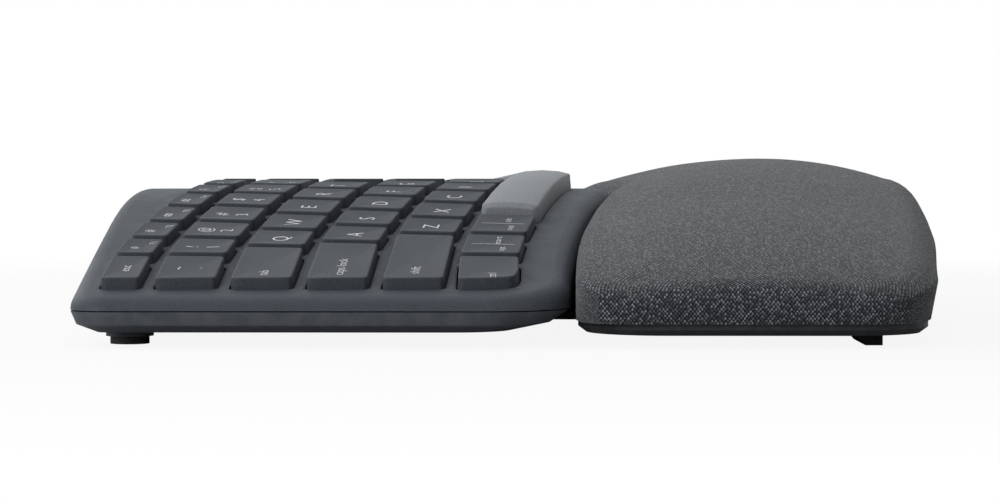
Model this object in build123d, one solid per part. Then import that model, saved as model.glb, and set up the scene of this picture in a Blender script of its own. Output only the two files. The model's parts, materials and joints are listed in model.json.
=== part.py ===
from build123d import *
import os
from math import cos, hypot, radians, sin, tan

# Ergonomic split keyboard with a domed key field and a padded palm rest.
# +X runs to the typist's right, +Y away from the typist, +Z up, in millimetres.
# The origin lies on the table, under the middle of the whole keyboard.

# Whole body
HALF_WIDTH = 228.0
REAR_END_Y = 114.4
REAR_MIDDLE_Y = 118.0
FRAME_FRONT_Y = -10.8
REAR_CORNER_RADIUS = 10.0
FRONT_CORNER_RADIUS = 22.0
OVERRUN = 5.0

# Dome of the key field: two flanks joined by two arcs that meet at the crest
CREST_X = -72.0
CREST_HEIGHT = 38.3
LEFT_CREST_RADIUS = 320.0
RIGHT_CREST_RADIUS = 1200.0
LEFT_FLANK_DEGREES = 12.0
RIGHT_FLANK_DEGREES = 6.4

# Top case
SHELL_THICKNESS = 3.6
SIDE_WALL = 2.5
TOP_EDGE_RADIUS = 4.5
PARTING_HEIGHT = 9.2
PARTING_GAP = 0.3

# Bottom case
BOTTOM_HEIGHT = 3.6
FLOOR_THICKNESS = 2.0
SHOULDER_HEIGHT = 5.7
SHOULDER_INSET = 1.4
SHOULDER_FRONT_INSET = 5.0
BOTTOM_SIDE_INSET = 7.5
BOTTOM_REAR_INSET = 6.6
BOTTOM_FRONT_INSET = 15.0
TRAY_INSET = 9.5
TRAY_FRONT_INSET = 11.0

# Key field
KEY_PITCH = 19.05
FIELD_HALF_WIDTH = 220.0
CLUSTER_GAP = 5.0
NUMBER_ROW_Y = 85.8
FUNCTION_ROW_Y = 102.3
FUNCTION_PITCH = 13.4
ROW_TURN_INNER_DEGREES = 9.1
ROW_TURN_OUTER_DEGREES = -3.0
ROW_TURN_RUN = 100.0
EDGE_HALF_RUN = 156.0
EDGE_BEND_RADIUS = 690.0
EDGE_CREST_RADIUS = 100.0
WALK_STEPS = 24

# Key caps
WEB = 1.8
CAP_CLEARANCE = 0.35
CAP_BELOW = 1.3
CAP_PROUD = 3.0
FLANK_RUN = 0.45
EDGE_BEVEL = 0.3
CAP_CORNER = 1.3
DISH_INSET = 2.6
DISH_DEPTH = 0.35
SPACE_BAR_PROUD = 5.6
SPACE_BAR_CROWN = 0.9
SPACE_BAR_END_DROP = 0.8
SPACE_BAR_STEPS = 4
THUMB_CORNER = 9.0
KEY_TRAVEL = 2.0

# Under the caps
MEMBRANE_GAP = 0.2
MEMBRANE_THICKNESS = 0.4
PLATE_THICKNESS = 0.8
DOME_FOOT_RADIUS = 3.1
DOME_HEAD_RADIUS = 1.9
DOME_SIDES = 6
UNDER_CAP_GAP = 0.1
LEVER_SPREAD = 4.3
LEVER_WIDTH = 0.8
LEVER_THICKNESS = 0.6
LEVER_REACH = 5.4

# Palm rest
PALM_DEPTH = 91.3
PALM_SEAM_GAP = 1.0
PALM_RISE = 9.1
PALM_CORNER_RADIUS = 23.0
PALM_END_FALL = 7.0
COVER_THICKNESS = 1.0
FOAM_THICKNESS = 8.0
SUPPORT_WALL = 2.0
RIB_THICKNESS = 1.6
RIB_SPACING = 46.0
PALM_BASE_HEIGHT = 3.1
PALM_SEAT_HEIGHT = 6.5
PALM_BASE_CHAMFER = 3.0
REAR_ROLL = 8.0
FRONT_ROLL = 11.0
CROWN_PLACE = 38.0
REAR_SHOULDER_SHARE = 0.78
REAR_ROLL_SHARE = 0.917
FRONT_ROLL_SHARE = 0.868
FRONT_KNEE_SHARE = 0.61
ROLL_BULGE_SHARE = 0.16
END_STATION_SHARES = (0.0, 0.08, 0.3, 0.62, 1.0, 1.45, 2.1)

# Palm lift legs, two lengths nested in each pocket
LEG_X = 150.0
LEG_HINGE_Y = -88.0
LONG_LEG_LENGTH = 26.0
SHORT_LEG_LENGTH = 14.5
LONG_LEG_WIDTH = 56.0
LEG_ARM = 8.0
LEG_THICKNESS = 3.6
LEG_BARREL_RADIUS = 2.1
LEG_CLEARANCE = 0.35
LEG_PIN_RADIUS = 1.0
LEG_PIN_CLEARANCE = 0.05
LEG_HINGE_HEIGHT = 5.6
LEG_POCKET_WALL = 1.6
LEG_FINGER_RADIUS = 5.0

# Feet
REAR_FOOT_X = 206.0
REAR_FOOT_Y = 101.5
FOOT_RADIUS = 5.0
FOOT_BOSS_RADIUS = 6.1
FOOT_BOSS_HEIGHT = 1.6
FRONT_FOOT_X = 200.0
FRONT_FOOT_Y = -86.6
FRONT_FOOT_WIDTH = 26.0
FRONT_FOOT_DEPTH = 7.0
FRONT_FOOT_RUN = 2.6

# Batteries and their door
CELL_RADIUS = 5.25
CELL_LENGTH = 44.5
CELL_SPACING = 11.2
BATTERY_X = 20.0
BATTERY_Y = 58.0
BATTERY_WALL = 1.6
CONTACT_THICKNESS = 0.6
CONTACT_ROOM = 2.4
DOOR_THICKNESS = 1.6
DOOR_CLEARANCE = 0.3
DOOR_TAB_WIDTH = 12.0
DOOR_TAB_RUN = 2.0
THUMB_GROOVE_RADIUS = 2.5

# Power switch
SWITCH_X = -60.0
SWITCH_Y = 82.0
SWITCH_WIDTH = 5.0
SWITCH_DEPTH = 4.0
SWITCH_TRAVEL = 3.0
SWITCH_CLEARANCE = 0.3
SWITCH_PROUD = 0.5
SWITCH_FLANGE = 1.5

# Circuit board, posts and screws
BOARD_WIDTH = 96.0
BOARD_DEPTH = 34.0
BOARD_THICKNESS = 1.6
BOARD_X = -72.0
BOARD_Y = 52.0
STANDOFF_HEIGHT = 2.4
STANDOFF_RADIUS = 2.5
CHIP_SIZE = 9.0
CHIP_HEIGHT = 1.4
POST_RADIUS = 3.2
POST_GAP = 0.2
SCREW_RADIUS = 1.2
SCREW_HEAD_RADIUS = 2.5
SCREW_HEAD_HEIGHT = 1.4
SCREW_LENGTH = 7.0
SCREW_CLEARANCE = 0.1
TONGUE_WIDTH = 70.0
TONGUE_THICKNESS = 2.0
TONGUE_REACH = 24.0
TONGUE_CLEARANCE = 0.15
TONGUE_GRIP = 6.0
LENS_RADIUS = 1.1
LENS_X = -52.0
LENS_Y = 108.0

# Places given as shares of the half width, or of the key pitch
POST_X_SHARES = (-0.8, -0.45, 0.06, 0.42, 0.82)
POST_Y = (24.0, 92.0)
TONGUE_X_SHARES = (-0.62, -0.1, 0.5)

# Small gaps and counts shared by several pieces
FULL_TURN = 360.0
RIGHT_ANGLE = 90.0
CELL_SIDES = 4
SEAT_GAP = 0.06
LAYER_GAP = 0.3
SEAM_REVEAL = 0.3
FOOT_HEIGHT = 2.0
THUMB_STEPS = 4
TONGUE_HEIGHT = 4.5
SADDLE_HEIGHT = 0.6
LAYER_INSET = 11.0
LAYER_FRONT_INSET = 12.0
STANDOFF_SHARE = 0.44
END_CROWN_SHARE = 0.5
SEAM_EDGE_SHARE = 0.999
THUMB_ROW_SHARE = 3.5

# Sizes that follow from the ones above
THUMB_ROW_Y = NUMBER_ROW_Y - THUMB_ROW_SHARE * KEY_PITCH
BAY_LENGTH = CELL_LENGTH + 2 * CONTACT_ROOM
BAY_DEPTH = CELL_SPACING + 2 * CELL_RADIUS + 4 * DOOR_CLEARANCE
CELL_HEIGHT = BOTTOM_HEIGHT + DOOR_THICKNESS + SADDLE_HEIGHT + CELL_RADIUS
BAY_ROOF = CELL_HEIGHT + CELL_RADIUS + DOOR_CLEARANCE
DOOR_HINGE_Y = BATTERY_Y + BAY_DEPTH / 2 - DOOR_CLEARANCE - DOOR_THICKNESS / 2
DOOR_HINGE_Z = BOTTOM_HEIGHT + DOOR_THICKNESS / 2
POCKET_FRONT = LEG_HINGE_Y - LEG_BARREL_RADIUS - LEG_CLEARANCE
POCKET_REAR = LEG_HINGE_Y + LONG_LEG_LENGTH + LEG_CLEARANCE
POCKET_ROOF = LEG_HINGE_HEIGHT + LEG_BARREL_RADIUS + LEG_CLEARANCE

# Rows from their outer end inwards, as (node, width in pitches)
LEFT_ROWS = (
    (("function_keys_left", 1.4),) + (("function_keys_left", 1.0),) * 6,
    (("number_keys_left", 1.4),) + (("number_keys_left", 1.0),) * 6,
    (("side_keys_left", 1.9),) + tuple(("key_" + name, 1.0) for name in "qwert"),
    (("side_keys_left", 2.15),) + tuple(("key_" + name, 1.0) for name in "asdfg"),
    (("side_keys_left", 2.65),) + tuple(("key_" + name, 1.0) for name in "zxcvb"),
    (("side_keys_left", 1.4), ("side_keys_left", 1.25), ("side_keys_left", 1.25), ("space_bar_left", 3.75)),
)
RIGHT_ROWS = (
    (("function_keys_right", 1.5),) + (("function_keys_right", 1.0),) * 6,
    (("number_keys_right", 1.5),) + (("number_keys_right", 1.0),) * 6,
    (("side_keys_right", 1.0),) * 3 + tuple(("key_" + name, 1.0) for name in "poiuy"),
    (("side_keys_right", 1.75),) + (("side_keys_right", 1.0),) * 2 + tuple(("key_" + name, 1.0) for name in "lkjh"),
    (("side_keys_right", 2.25),) + (("side_keys_right", 1.0),) * 3 + tuple(("key_" + name, 1.0) for name in "mn"),
    (("side_keys_right", 1.25),) + (("side_keys_right", 1.2),) * 2 + (("space_bar_right", 3.75),),
)
# Straight clusters, as (first column, row, columns, rows)
NAVIGATION_KEYS = (
    [(column, row, 1, 1) for row in (0, 1, 2) for column in (0, 1, 2)]
    + [(1, 4, 1, 1), (0, 5, 1, 1), (1, 5, 1, 1), (2, 5, 1, 1)]
)
NUMPAD_KEYS = (
    [(column, row, 1, 1) for row in (0, 1) for column in (0, 1, 2, 3)]
    + [(column, row, 1, 1) for row in (2, 3, 4) for column in (0, 1, 2)]
    + [(3, 2, 1, 2), (3, 4, 1, 2), (0, 5, 2, 1), (2, 5, 1, 1)]
)
NAVIGATION_COLUMNS = 3
NUMPAD_COLUMNS = 4


# Dome

def dome_height(x):
    """Height of the outer dome surface above the table."""
    radius, angle = flank(x)
    run = abs(x - CREST_X)
    reach = radius * sin(angle)
    if run < reach:
        return CREST_HEIGHT - radius + (radius**2 - run**2) ** 0.5
    return CREST_HEIGHT - radius * (1 - cos(angle)) - (run - reach) * tan(angle)


def dome_slope(x):
    """Rise of the dome surface per unit of X."""
    radius, angle = flank(x)
    run = abs(x - CREST_X)
    fall = run / (radius**2 - run**2) ** 0.5 if run < radius * sin(angle) else tan(angle)
    return fall if x < CREST_X else -fall


def flank(x):
    """Arc radius and final angle on this side of the crest."""
    if x < CREST_X:
        return LEFT_CREST_RADIUS, radians(LEFT_FLANK_DEGREES)
    return RIGHT_CREST_RADIUS, radians(RIGHT_FLANK_DEGREES)


def dome_solid(depth, floor=0.0):
    """Everything between the floor and the dome sunk by a depth."""
    top = CREST_HEIGHT - depth
    left, right = LEFT_CREST_RADIUS - depth, RIGHT_CREST_RADIUS - depth
    low, high = radians(LEFT_FLANK_DEGREES), radians(RIGHT_FLANK_DEGREES)
    edge = HALF_WIDTH + OVERRUN

    def on_left(angle):
        return (CREST_X - left * sin(angle), top - left * (1 - cos(angle)))

    def on_right(angle):
        return (CREST_X + right * sin(angle), top - right * (1 - cos(angle)))

    start, end = on_left(low), on_right(high)
    crest = (CREST_X, top)
    far_left = (-edge, start[1] - (start[0] + edge) * tan(low))
    far_right = (edge, end[1] - (edge - end[0]) * tan(high))
    line = Line(far_left, start) + ThreePointArc(start, on_left(low / 2), crest)
    line += ThreePointArc(crest, on_right(high / 2), end) + Line(end, far_right)
    line += Polyline(far_right, (edge, floor), (-edge, floor), far_left)
    face = make_face(Plane.XZ * line)
    return extrude(face, amount=REAR_MIDDLE_Y + OVERRUN, both=True)


# Curve of the key rows, which the front edges follow

def row_drop(run):
    """How far a row has come towards the typist after a run inwards."""
    inner, outer = tan(radians(ROW_TURN_INNER_DEGREES)), tan(radians(ROW_TURN_OUTER_DEGREES))
    turned_share = 1 - ((ROW_TURN_RUN - run) / ROW_TURN_RUN) ** 3
    return inner * run - (inner - outer) * ROW_TURN_RUN / 3 * turned_share


def row_turn(run):
    """Slope of a row in plan after a run inwards."""
    inner, outer = tan(radians(ROW_TURN_INNER_DEGREES)), tan(radians(ROW_TURN_OUTER_DEGREES))
    return inner - (inner - outer) * ((ROW_TURN_RUN - run) / ROW_TURN_RUN) ** 2


def cluster_edges():
    """Left edges of the navigation and number clusters, and the right end of the letter rows."""
    across = cos(radians(RIGHT_FLANK_DEGREES)) * KEY_PITCH
    numpad = FIELD_HALF_WIDTH - NUMPAD_COLUMNS * across
    navigation = numpad - CLUSTER_GAP - NAVIGATION_COLUMNS * across
    return navigation, numpad, navigation - CLUSTER_GAP


NAVIGATION_X, NUMPAD_X, LETTERS_END_X = cluster_edges()


# Front edges: flat, then a bend, a straight run and a short arc round the crest

def edge_runs():
    """Distances from the crest at which a front edge changes its curve."""
    turn = radians(ROW_TURN_INNER_DEGREES)
    return EDGE_CREST_RADIUS * sin(turn), EDGE_HALF_RUN - EDGE_BEND_RADIUS * sin(turn)


def sweep_back(x):
    """Shift of a front edge towards the typist at this X."""
    turn = radians(ROW_TURN_INNER_DEGREES)
    crest_run, bend_run = edge_runs()
    run = abs(x - CREST_X)
    if run >= EDGE_HALF_RUN:
        return 0.0
    if run >= bend_run:
        return EDGE_BEND_RADIUS - (EDGE_BEND_RADIUS**2 - (EDGE_HALF_RUN - run) ** 2) ** 0.5
    straight = EDGE_BEND_RADIUS * (1 - cos(turn)) + (bend_run - max(run, crest_run)) * tan(turn)
    if run >= crest_run:
        return straight
    return straight + (EDGE_CREST_RADIUS**2 - run**2) ** 0.5 - EDGE_CREST_RADIUS * cos(turn)


def front_edge(y, ends):
    """Line of a front edge from left to right."""
    crest_run, bend_run = edge_runs()

    def at(x):
        return (x, y - sweep_back(x))

    left, right = CREST_X - bend_run, CREST_X + bend_run
    near_left, near_right = CREST_X - crest_run, CREST_X + crest_run
    flat = CREST_X + EDGE_HALF_RUN
    line = ThreePointArc(at(-ends), at((left - ends) / 2), at(left)) + Line(at(left), at(near_left))
    line += ThreePointArc(at(near_left), at(CREST_X), at(near_right)) + Line(at(near_right), at(right))
    line += ThreePointArc(at(right), at((right + flat) / 2), at(flat)) + Line(at(flat), at(ends))
    return line, at(-ends), at(ends)


# Outlines in plan

def case_outline(side=0.0, front=0.0, rear=0.0):
    """Plan of the key case, drawn in from its sides, front and rear."""
    ends = HALF_WIDTH - side
    edge, first, last = front_edge(FRAME_FRONT_Y + front, ends)
    right, left = (ends, REAR_END_Y - rear), (-ends, REAR_END_Y - rear)
    line = edge + Line(last, right)
    line += ThreePointArc(right, (0.0, REAR_MIDDLE_Y - rear), left) + Line(left, first)
    face = make_face(line)
    face = fillet(face.vertices().sort_by(Axis.Y)[-2:], max(REAR_CORNER_RADIUS - side, SIDE_WALL))
    corners = face.vertices().filter_by(lambda v: v.Y < REAR_END_Y / 2 and abs(v.X) > ends - SEAT_GAP)
    return fillet(corners, max(FRONT_CORNER_RADIUS - side, SIDE_WALL))


def palm_outline(inset=0.0):
    """Plan of the palm rest, drawn in all round."""
    ends = HALF_WIDTH - inset
    rear, rear_left, rear_right = front_edge(FRAME_FRONT_Y - PALM_SEAM_GAP - inset, ends)
    front, front_left, front_right = front_edge(FRAME_FRONT_Y - PALM_SEAM_GAP - PALM_DEPTH + inset, ends)
    face = make_face(rear + Line(rear_right, front_right) + front + Line(front_left, rear_left))
    corners = face.vertices().filter_by(lambda v: abs(v.X) > ends - SEAT_GAP)
    return fillet(corners, PALM_CORNER_RADIUS - inset)


# Case shells

def raised(outline, height):
    """A plan outline lifted to a height."""
    return Plane.XY.offset(height) * outline


def on_rim(edge):
    """Whether an edge runs round the top case's rim, and not along a seam of the dome."""
    lowest = min((edge @ share).Z for share in (0, 0.5, 1))
    middle, direction = edge @ 0.5, edge.tangent_at(0.5)
    seam = abs(direction.Y) > SEAM_EDGE_SHARE and abs(middle.X) < HALF_WIDTH - PARTING_GAP
    return lowest > PARTING_HEIGHT + PARTING_GAP * 2 and not seam


def top_case_body(wells):
    """Domed shell with a well for every key."""
    base = PARTING_HEIGHT + PARTING_GAP / 2
    body = extrude(raised(case_outline(), base), amount=CREST_HEIGHT) & dome_solid(0.0)
    body = fillet(body.edges().filter_by(on_rim), TOP_EDGE_RADIUS)
    hollow = extrude(raised(case_outline(SIDE_WALL, SIDE_WALL, SIDE_WALL), 0.0), amount=CREST_HEIGHT)
    body -= hollow & dome_solid(SHELL_THICKNESS, -OVERRUN)
    body -= wells
    lens = Pos(LENS_X, LENS_Y, 0) * Cylinder(LENS_RADIUS + SWITCH_CLEARANCE / 2, CREST_HEIGHT * 2)
    return body - lens


def post_places():
    """Where the posts and screws stand."""
    return [(share * HALF_WIDTH, y) for share in POST_X_SHARES for y in POST_Y]


def screw_tool(radius_extra):
    """A screw pointing up, its head's underside face at zero."""
    head = Cylinder(SCREW_HEAD_RADIUS + radius_extra, SCREW_HEAD_HEIGHT, align=(Align.CENTER, Align.CENTER, Align.MIN))
    shank = Cylinder(SCREW_RADIUS + radius_extra, SCREW_LENGTH, align=(Align.CENTER, Align.CENTER, Align.MIN))
    return head + shank


# Key cells

class Cell:
    """One key's share of the field: a plane on the dome and four corners in it."""

    def __init__(self, left, right, left_across, right_across, near, far):
        places = [
            left - left_across * near,
            right - right_across * near,
            right + right_across * far,
            left + left_across * far,
        ]
        origin = (places[0] + places[1] + places[2] + places[3]) / 4
        along = (right - left).normalized()
        up = along.cross(left_across + right_across)
        self.plane = Plane(origin=origin, x_dir=along, z_dir=up)
        local = [self.plane.to_local_coords(place) for place in places]
        self.corners = [Vector(point.X, point.Y) for point in local]
        self.cuts = [(CAP_CORNER, 1)] * CELL_SIDES
        slope = dome_slope(origin.X)
        seat = Vector(origin.X, origin.Y, dome_height(origin.X))
        self.seat = Plane(origin=seat, x_dir=(1, 0, slope), z_dir=(-slope, 0, 1))
        self.foot = -(SHELL_THICKNESS + MEMBRANE_GAP) + SEAT_GAP
        self.head = -CAP_BELOW - UNDER_CAP_GAP - (seat.Z - origin.Z) - SEAT_GAP

    def points(self, inset):
        """The outline drawn in by an inset, with its corners cut."""
        moved = drawn_in(self.corners, inset)
        found = []
        for index, (size, steps) in enumerate(self.cuts):
            before, here, after = moved[index - 1], moved[index], moved[(index + 1) % CELL_SIDES]
            start = here + (before - here).normalized() * size
            end = here + (after - here).normalized() * size
            for step in range(steps + 1):
                share = step / steps
                found.append(start * (1 - share) ** 2 + here * 2 * share * (1 - share) + end * share**2)
        return found

    def ring(self, inset, height):
        """The outline as a closed wire at a height over the dome."""
        places = [self.plane.from_local_coords((point.X, point.Y, height)) for point in self.points(inset)]
        return Wire.make_polygon(places, close=True)

    def stack(self, rings):
        """Solid through rings given as inset and height pairs."""
        return Solid.make_loft([self.ring(inset, height) for inset, height in rings], ruled=True)

    def well(self):
        """Cutter for this key's well through the top case."""
        depth = SHELL_THICKNESS + MEMBRANE_THICKNESS
        return self.stack([(WEB / 2, -depth), (WEB / 2, SHELL_THICKNESS)])

    def cap(self):
        """Key cap with tapered flanks, a bevelled rim and a dished top."""
        base = WEB / 2 + CAP_CLEARANCE
        shoulder = base + FLANK_RUN
        rim = shoulder + EDGE_BEVEL
        return self.stack([
            (base, -CAP_BELOW),
            (shoulder, CAP_PROUD - EDGE_BEVEL),
            (rim, CAP_PROUD),
            (rim + DISH_INSET, CAP_PROUD - DISH_DEPTH),
        ])

    def rubber_dome(self):
        """Frustum between the membrane and the cap."""
        rings = []
        for radius, height in ((DOME_FOOT_RADIUS, self.foot), (DOME_HEAD_RADIUS, self.head)):
            turns = [radians(FULL_TURN * side / DOME_SIDES) for side in range(DOME_SIDES)]
            places = [self.seat.from_local_coords((radius * cos(a), radius * sin(a), height)) for a in turns]
            rings.append(Wire.make_polygon(places, close=True))
        return Solid.make_loft(rings, ruled=True)

    def levers(self):
        """Two crossing levers, one on each side of the rubber dome."""
        pair = []
        for side in (-1, 1):
            ends = [(-LEVER_REACH * side, self.foot), (LEVER_REACH * side, self.head - LEVER_THICKNESS)]
            outline = [ends[0], ends[1], (ends[1][0], self.head), (ends[0][0], self.foot + LEVER_THICKNESS)]
            y = side * LEVER_SPREAD - LEVER_WIDTH / 2
            places = [self.seat.from_local_coords((x, y, z)) for x, z in outline]
            face = Face(Wire.make_polygon(places, close=True))
            pair.append(Solid.extrude(face, self.seat.y_dir * LEVER_WIDTH))
        return pair


def drawn_in(corners, inset):
    """Corners of a convex outline after each side moves inwards."""
    moved = []
    for index, here in enumerate(corners):
        arriving = (here - corners[index - 1]).normalized()
        leaving = (corners[(index + 1) % len(corners)] - here).normalized()
        first = Vector(-arriving.Y, arriving.X)
        second = Vector(-leaving.Y, leaving.X)
        moved.append(here + (first + second) * (inset / (1 + first.dot(second))))
    return moved


def row_y(row):
    """Middle of a row at its outer end; row 0 is the function row."""
    return FUNCTION_ROW_Y if row == 0 else NUMBER_ROW_Y - (row - 1) * KEY_PITCH


def half_depth(row):
    """Half of a row's depth."""
    return (FUNCTION_PITCH if row == 0 else KEY_PITCH) / 2


def walk(edge, direction, arc):
    """Run in plan that covers an arc along a row from its outer edge."""
    run = 0.0
    for _ in range(WALK_STEPS):
        slope = dome_slope(edge + direction * run)
        run += arc / WALK_STEPS / hypot(1, slope, row_turn(run))
    return run


def row_station(edge, direction, arc, row):
    """Point of a row's middle line, and the direction across the row there."""
    run = walk(edge, direction, arc)
    x = edge + direction * run
    along = Vector(1, -direction * row_turn(run), dome_slope(x))
    across = Vector(-dome_slope(x), 0, 1).cross(along).normalized()
    return Vector(x, row_y(row) - row_drop(run), dome_height(x)), across


def curved_cells(edge, direction, rows):
    """Cells of one letter half, as (node, cell) pairs."""
    found = []
    for row, keys in enumerate(rows):
        arc = 0.0
        for node, width in keys:
            stations = [row_station(edge, direction, arc, row)]
            arc += width * KEY_PITCH
            stations.append(row_station(edge, direction, arc, row))
            left, right = stations[::direction]
            half = half_depth(row)
            found.append((node, Cell(left[0], right[0], left[1], right[1], half, half)))
    return found


def space_bar(edge, direction, arc, width):
    """Crowned bar that bends with the dome, lofted along its row."""
    base = WEB / 2 + CAP_CLEARANCE
    shoulder = base + FLANK_RUN
    rim = shoulder + EDGE_BEVEL
    length = width * KEY_PITCH - 2 * base
    row = len(LEFT_ROWS) - 1
    near = row_station(edge, direction, arc * KEY_PITCH + base, row)
    far = row_station(edge, direction, arc * KEY_PITCH + base + length, row)
    inner = 1 - 2 * CAP_CORNER / length
    shares = [0.0] + [(1 - inner) / 2 + inner * step / SPACE_BAR_STEPS for step in range(SPACE_BAR_STEPS + 1)] + [1.0]
    sections = []
    for share in shares:
        station = near[0] * (1 - share) + far[0] * share
        station = Vector(station.X, station.Y, dome_height(station.X))
        across = (near[1] * (1 - share) + far[1] * share).normalized()
        up = Vector(-dome_slope(station.X), 0, 1).normalized()
        at_end = share in (0.0, 1.0)
        top = SPACE_BAR_PROUD - SPACE_BAR_CROWN - (SPACE_BAR_END_DROP if at_end else 0.0)
        crown = top + SPACE_BAR_CROWN * (END_CROWN_SHARE if at_end else 1)
        half = KEY_PITCH / 2 - (CAP_CORNER if at_end else 0.0)
        side = [(half - base, -CAP_BELOW), (half - shoulder, top - EDGE_BEVEL), (half - rim, top),
                (half - rim - DISH_INSET, (top + 2 * crown) / 3)]
        profile = [(-y, z) for y, z in side] + [(0.0, crown)] + side[::-1]
        sections.append(Wire.make_polygon([station + across * y + up * z for y, z in profile], close=True))
    return Solid.make_loft(sections, ruled=True)


def straight_cells(node, edge, keys):
    """Cells of a straight cluster on the right flank."""
    found = []
    across = Vector(0, 1, 0)
    pitch = KEY_PITCH * cos(radians(RIGHT_FLANK_DEGREES))
    for column, row, columns, rows in keys:
        left, right = edge + column * pitch, edge + (column + columns) * pitch
        y = row_y(row)
        near = half_depth(row) + (rows - 1) * KEY_PITCH
        ends = [Vector(x, y, dome_height(x)) for x in (left, right)]
        found.append((node, Cell(ends[0], ends[1], across, across, near, half_depth(row))))
    return found


def bar_place(rows):
    """Where the space bar starts in its row, and its width, both in pitches."""
    widths = [width for _, width in rows[-1]]
    return sum(widths[:-1]), widths[-1]


def all_cells():
    """Every key of the board."""
    found = curved_cells(-FIELD_HALF_WIDTH, 1, LEFT_ROWS)
    found += curved_cells(LETTERS_END_X, -1, RIGHT_ROWS)
    found += straight_cells("navigation_keys", NAVIGATION_X, NAVIGATION_KEYS)
    found += straight_cells("numpad_keys", NUMPAD_X, NUMPAD_KEYS)
    thumb = next(cell for node, cell in found if node == "side_keys_left" and cell.plane.origin.Y < THUMB_ROW_Y)
    thumb.cuts = [(THUMB_CORNER, THUMB_STEPS)] + thumb.cuts[1:]
    for node, cell in found:
        if node.startswith("space_bar"):
            cell.head = -CAP_BELOW - UNDER_CAP_GAP - SEAT_GAP
    return found


# Layers under the keys

def dome_layer(depth, thickness):
    """Curved sheet that lies under the top case."""
    plan = extrude(case_outline(LAYER_INSET, LAYER_FRONT_INSET, LAYER_INSET), amount=CREST_HEIGHT)
    return plan & (dome_solid(depth) - dome_solid(depth + thickness, -OVERRUN))


# Bottom case

def block(width, depth, low, high, x=0.0, y=0.0):
    """Box between two heights."""
    return Pos(x, y, low) * Box(width, depth, high - low, align=(Align.CENTER, Align.CENTER, Align.MIN))


def bottom_case_body(plate_depth):
    """Tray with posts, the battery bay and slots for the palm rest's tongues."""
    top = PARTING_HEIGHT - PARTING_GAP / 2
    floor = BOTTOM_HEIGHT + FLOOR_THICKNESS
    rings = [
        raised(case_outline(), top),
        raised(case_outline(SHOULDER_INSET, SHOULDER_FRONT_INSET, SHOULDER_INSET), SHOULDER_HEIGHT),
        raised(case_outline(BOTTOM_SIDE_INSET, BOTTOM_FRONT_INSET, BOTTOM_REAR_INSET), BOTTOM_HEIGHT),
    ]
    body = loft(rings, ruled=True)
    body -= extrude(raised(case_outline(TRAY_INSET, TRAY_FRONT_INSET, TRAY_INSET), floor), amount=CREST_HEIGHT)
    ceiling = dome_solid(plate_depth + POST_GAP)
    for x, y in post_places():
        body += block(POST_RADIUS * 2, POST_RADIUS * 2, floor, CREST_HEIGHT, x, y) & ceiling
        body -= Pos(x, y, BOTTOM_HEIGHT) * screw_tool(SCREW_CLEARANCE)
    for x, y in rear_feet():
        body += Pos(x, y, FOOT_HEIGHT) * Cylinder(
            FOOT_BOSS_RADIUS, BOTTOM_HEIGHT - FOOT_HEIGHT, align=(Align.CENTER, Align.CENTER, Align.MIN))
    for x in (-1, 1):
        for y in (-1, 1):
            place = (BOARD_X + x * BOARD_WIDTH * STANDOFF_SHARE, BOARD_Y + y * BOARD_DEPTH * STANDOFF_SHARE)
            body += block(STANDOFF_RADIUS * 2, STANDOFF_RADIUS * 2, floor, floor + STANDOFF_HEIGHT, *place)
    body += block(BAY_LENGTH + 2 * BATTERY_WALL, BAY_DEPTH + 2 * BATTERY_WALL, floor,
                  BAY_ROOF + BATTERY_WALL, BATTERY_X, BATTERY_Y)
    body -= block(BAY_LENGTH, BAY_DEPTH, 0.0, BAY_ROOF, BATTERY_X, BATTERY_Y)
    body -= block(SWITCH_WIDTH + SWITCH_TRAVEL + 2 * SWITCH_CLEARANCE, SWITCH_DEPTH + 2 * SWITCH_CLEARANCE,
                  0.0, floor + OVERRUN, SWITCH_X + SWITCH_TRAVEL / 2, SWITCH_Y)
    for x in tongue_places():
        body -= tongue(x, TONGUE_CLEARANCE)
    return body


def rear_feet():
    """Centres of the round feet."""
    return [(x, REAR_FOOT_Y) for x in (-REAR_FOOT_X, REAR_FOOT_X)]


def tongue_places():
    """Middles of the tongues that join the palm rest."""
    return [share * HALF_WIDTH for share in TONGUE_X_SHARES]


def tongue(x, extra):
    """Flat tongue that slides from the palm rest under the key case."""
    rear_edge = FRAME_FRONT_Y - PALM_SEAM_GAP - sweep_back(x)
    reach = TONGUE_REACH + TONGUE_GRIP + extra
    middle = rear_edge - TONGUE_GRIP + reach / 2
    return block(TONGUE_WIDTH + 2 * extra, reach, TONGUE_HEIGHT - extra,
                 TONGUE_HEIGHT + TONGUE_THICKNESS + extra, x, middle)


def screws():
    """Case screws, driven up into the posts."""
    return [Pos(x, y, BOTTOM_HEIGHT) * screw_tool(0.0) for x, y in post_places()]


def circuit_board():
    """Board with its controller, radio and a row of small parts."""
    low = BOTTOM_HEIGHT + FLOOR_THICKNESS + STANDOFF_HEIGHT
    high = low + BOARD_THICKNESS
    board = block(BOARD_WIDTH, BOARD_DEPTH, low, high, BOARD_X, BOARD_Y)
    for step in range(-2, 3):
        board += block(CHIP_SIZE, CHIP_SIZE, high, high + CHIP_HEIGHT, BOARD_X + step * CHIP_SIZE * 2, BOARD_Y)
    return board


# Batteries, door and switch

def cells():
    """Two round cells side by side."""
    found = []
    for side in (-1, 1):
        place = Pos(BATTERY_X, BATTERY_Y + side * CELL_SPACING / 2, CELL_HEIGHT) * Rot(0, RIGHT_ANGLE, 0)
        found.append(place * Cylinder(CELL_RADIUS, CELL_LENGTH))
    return found


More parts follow.
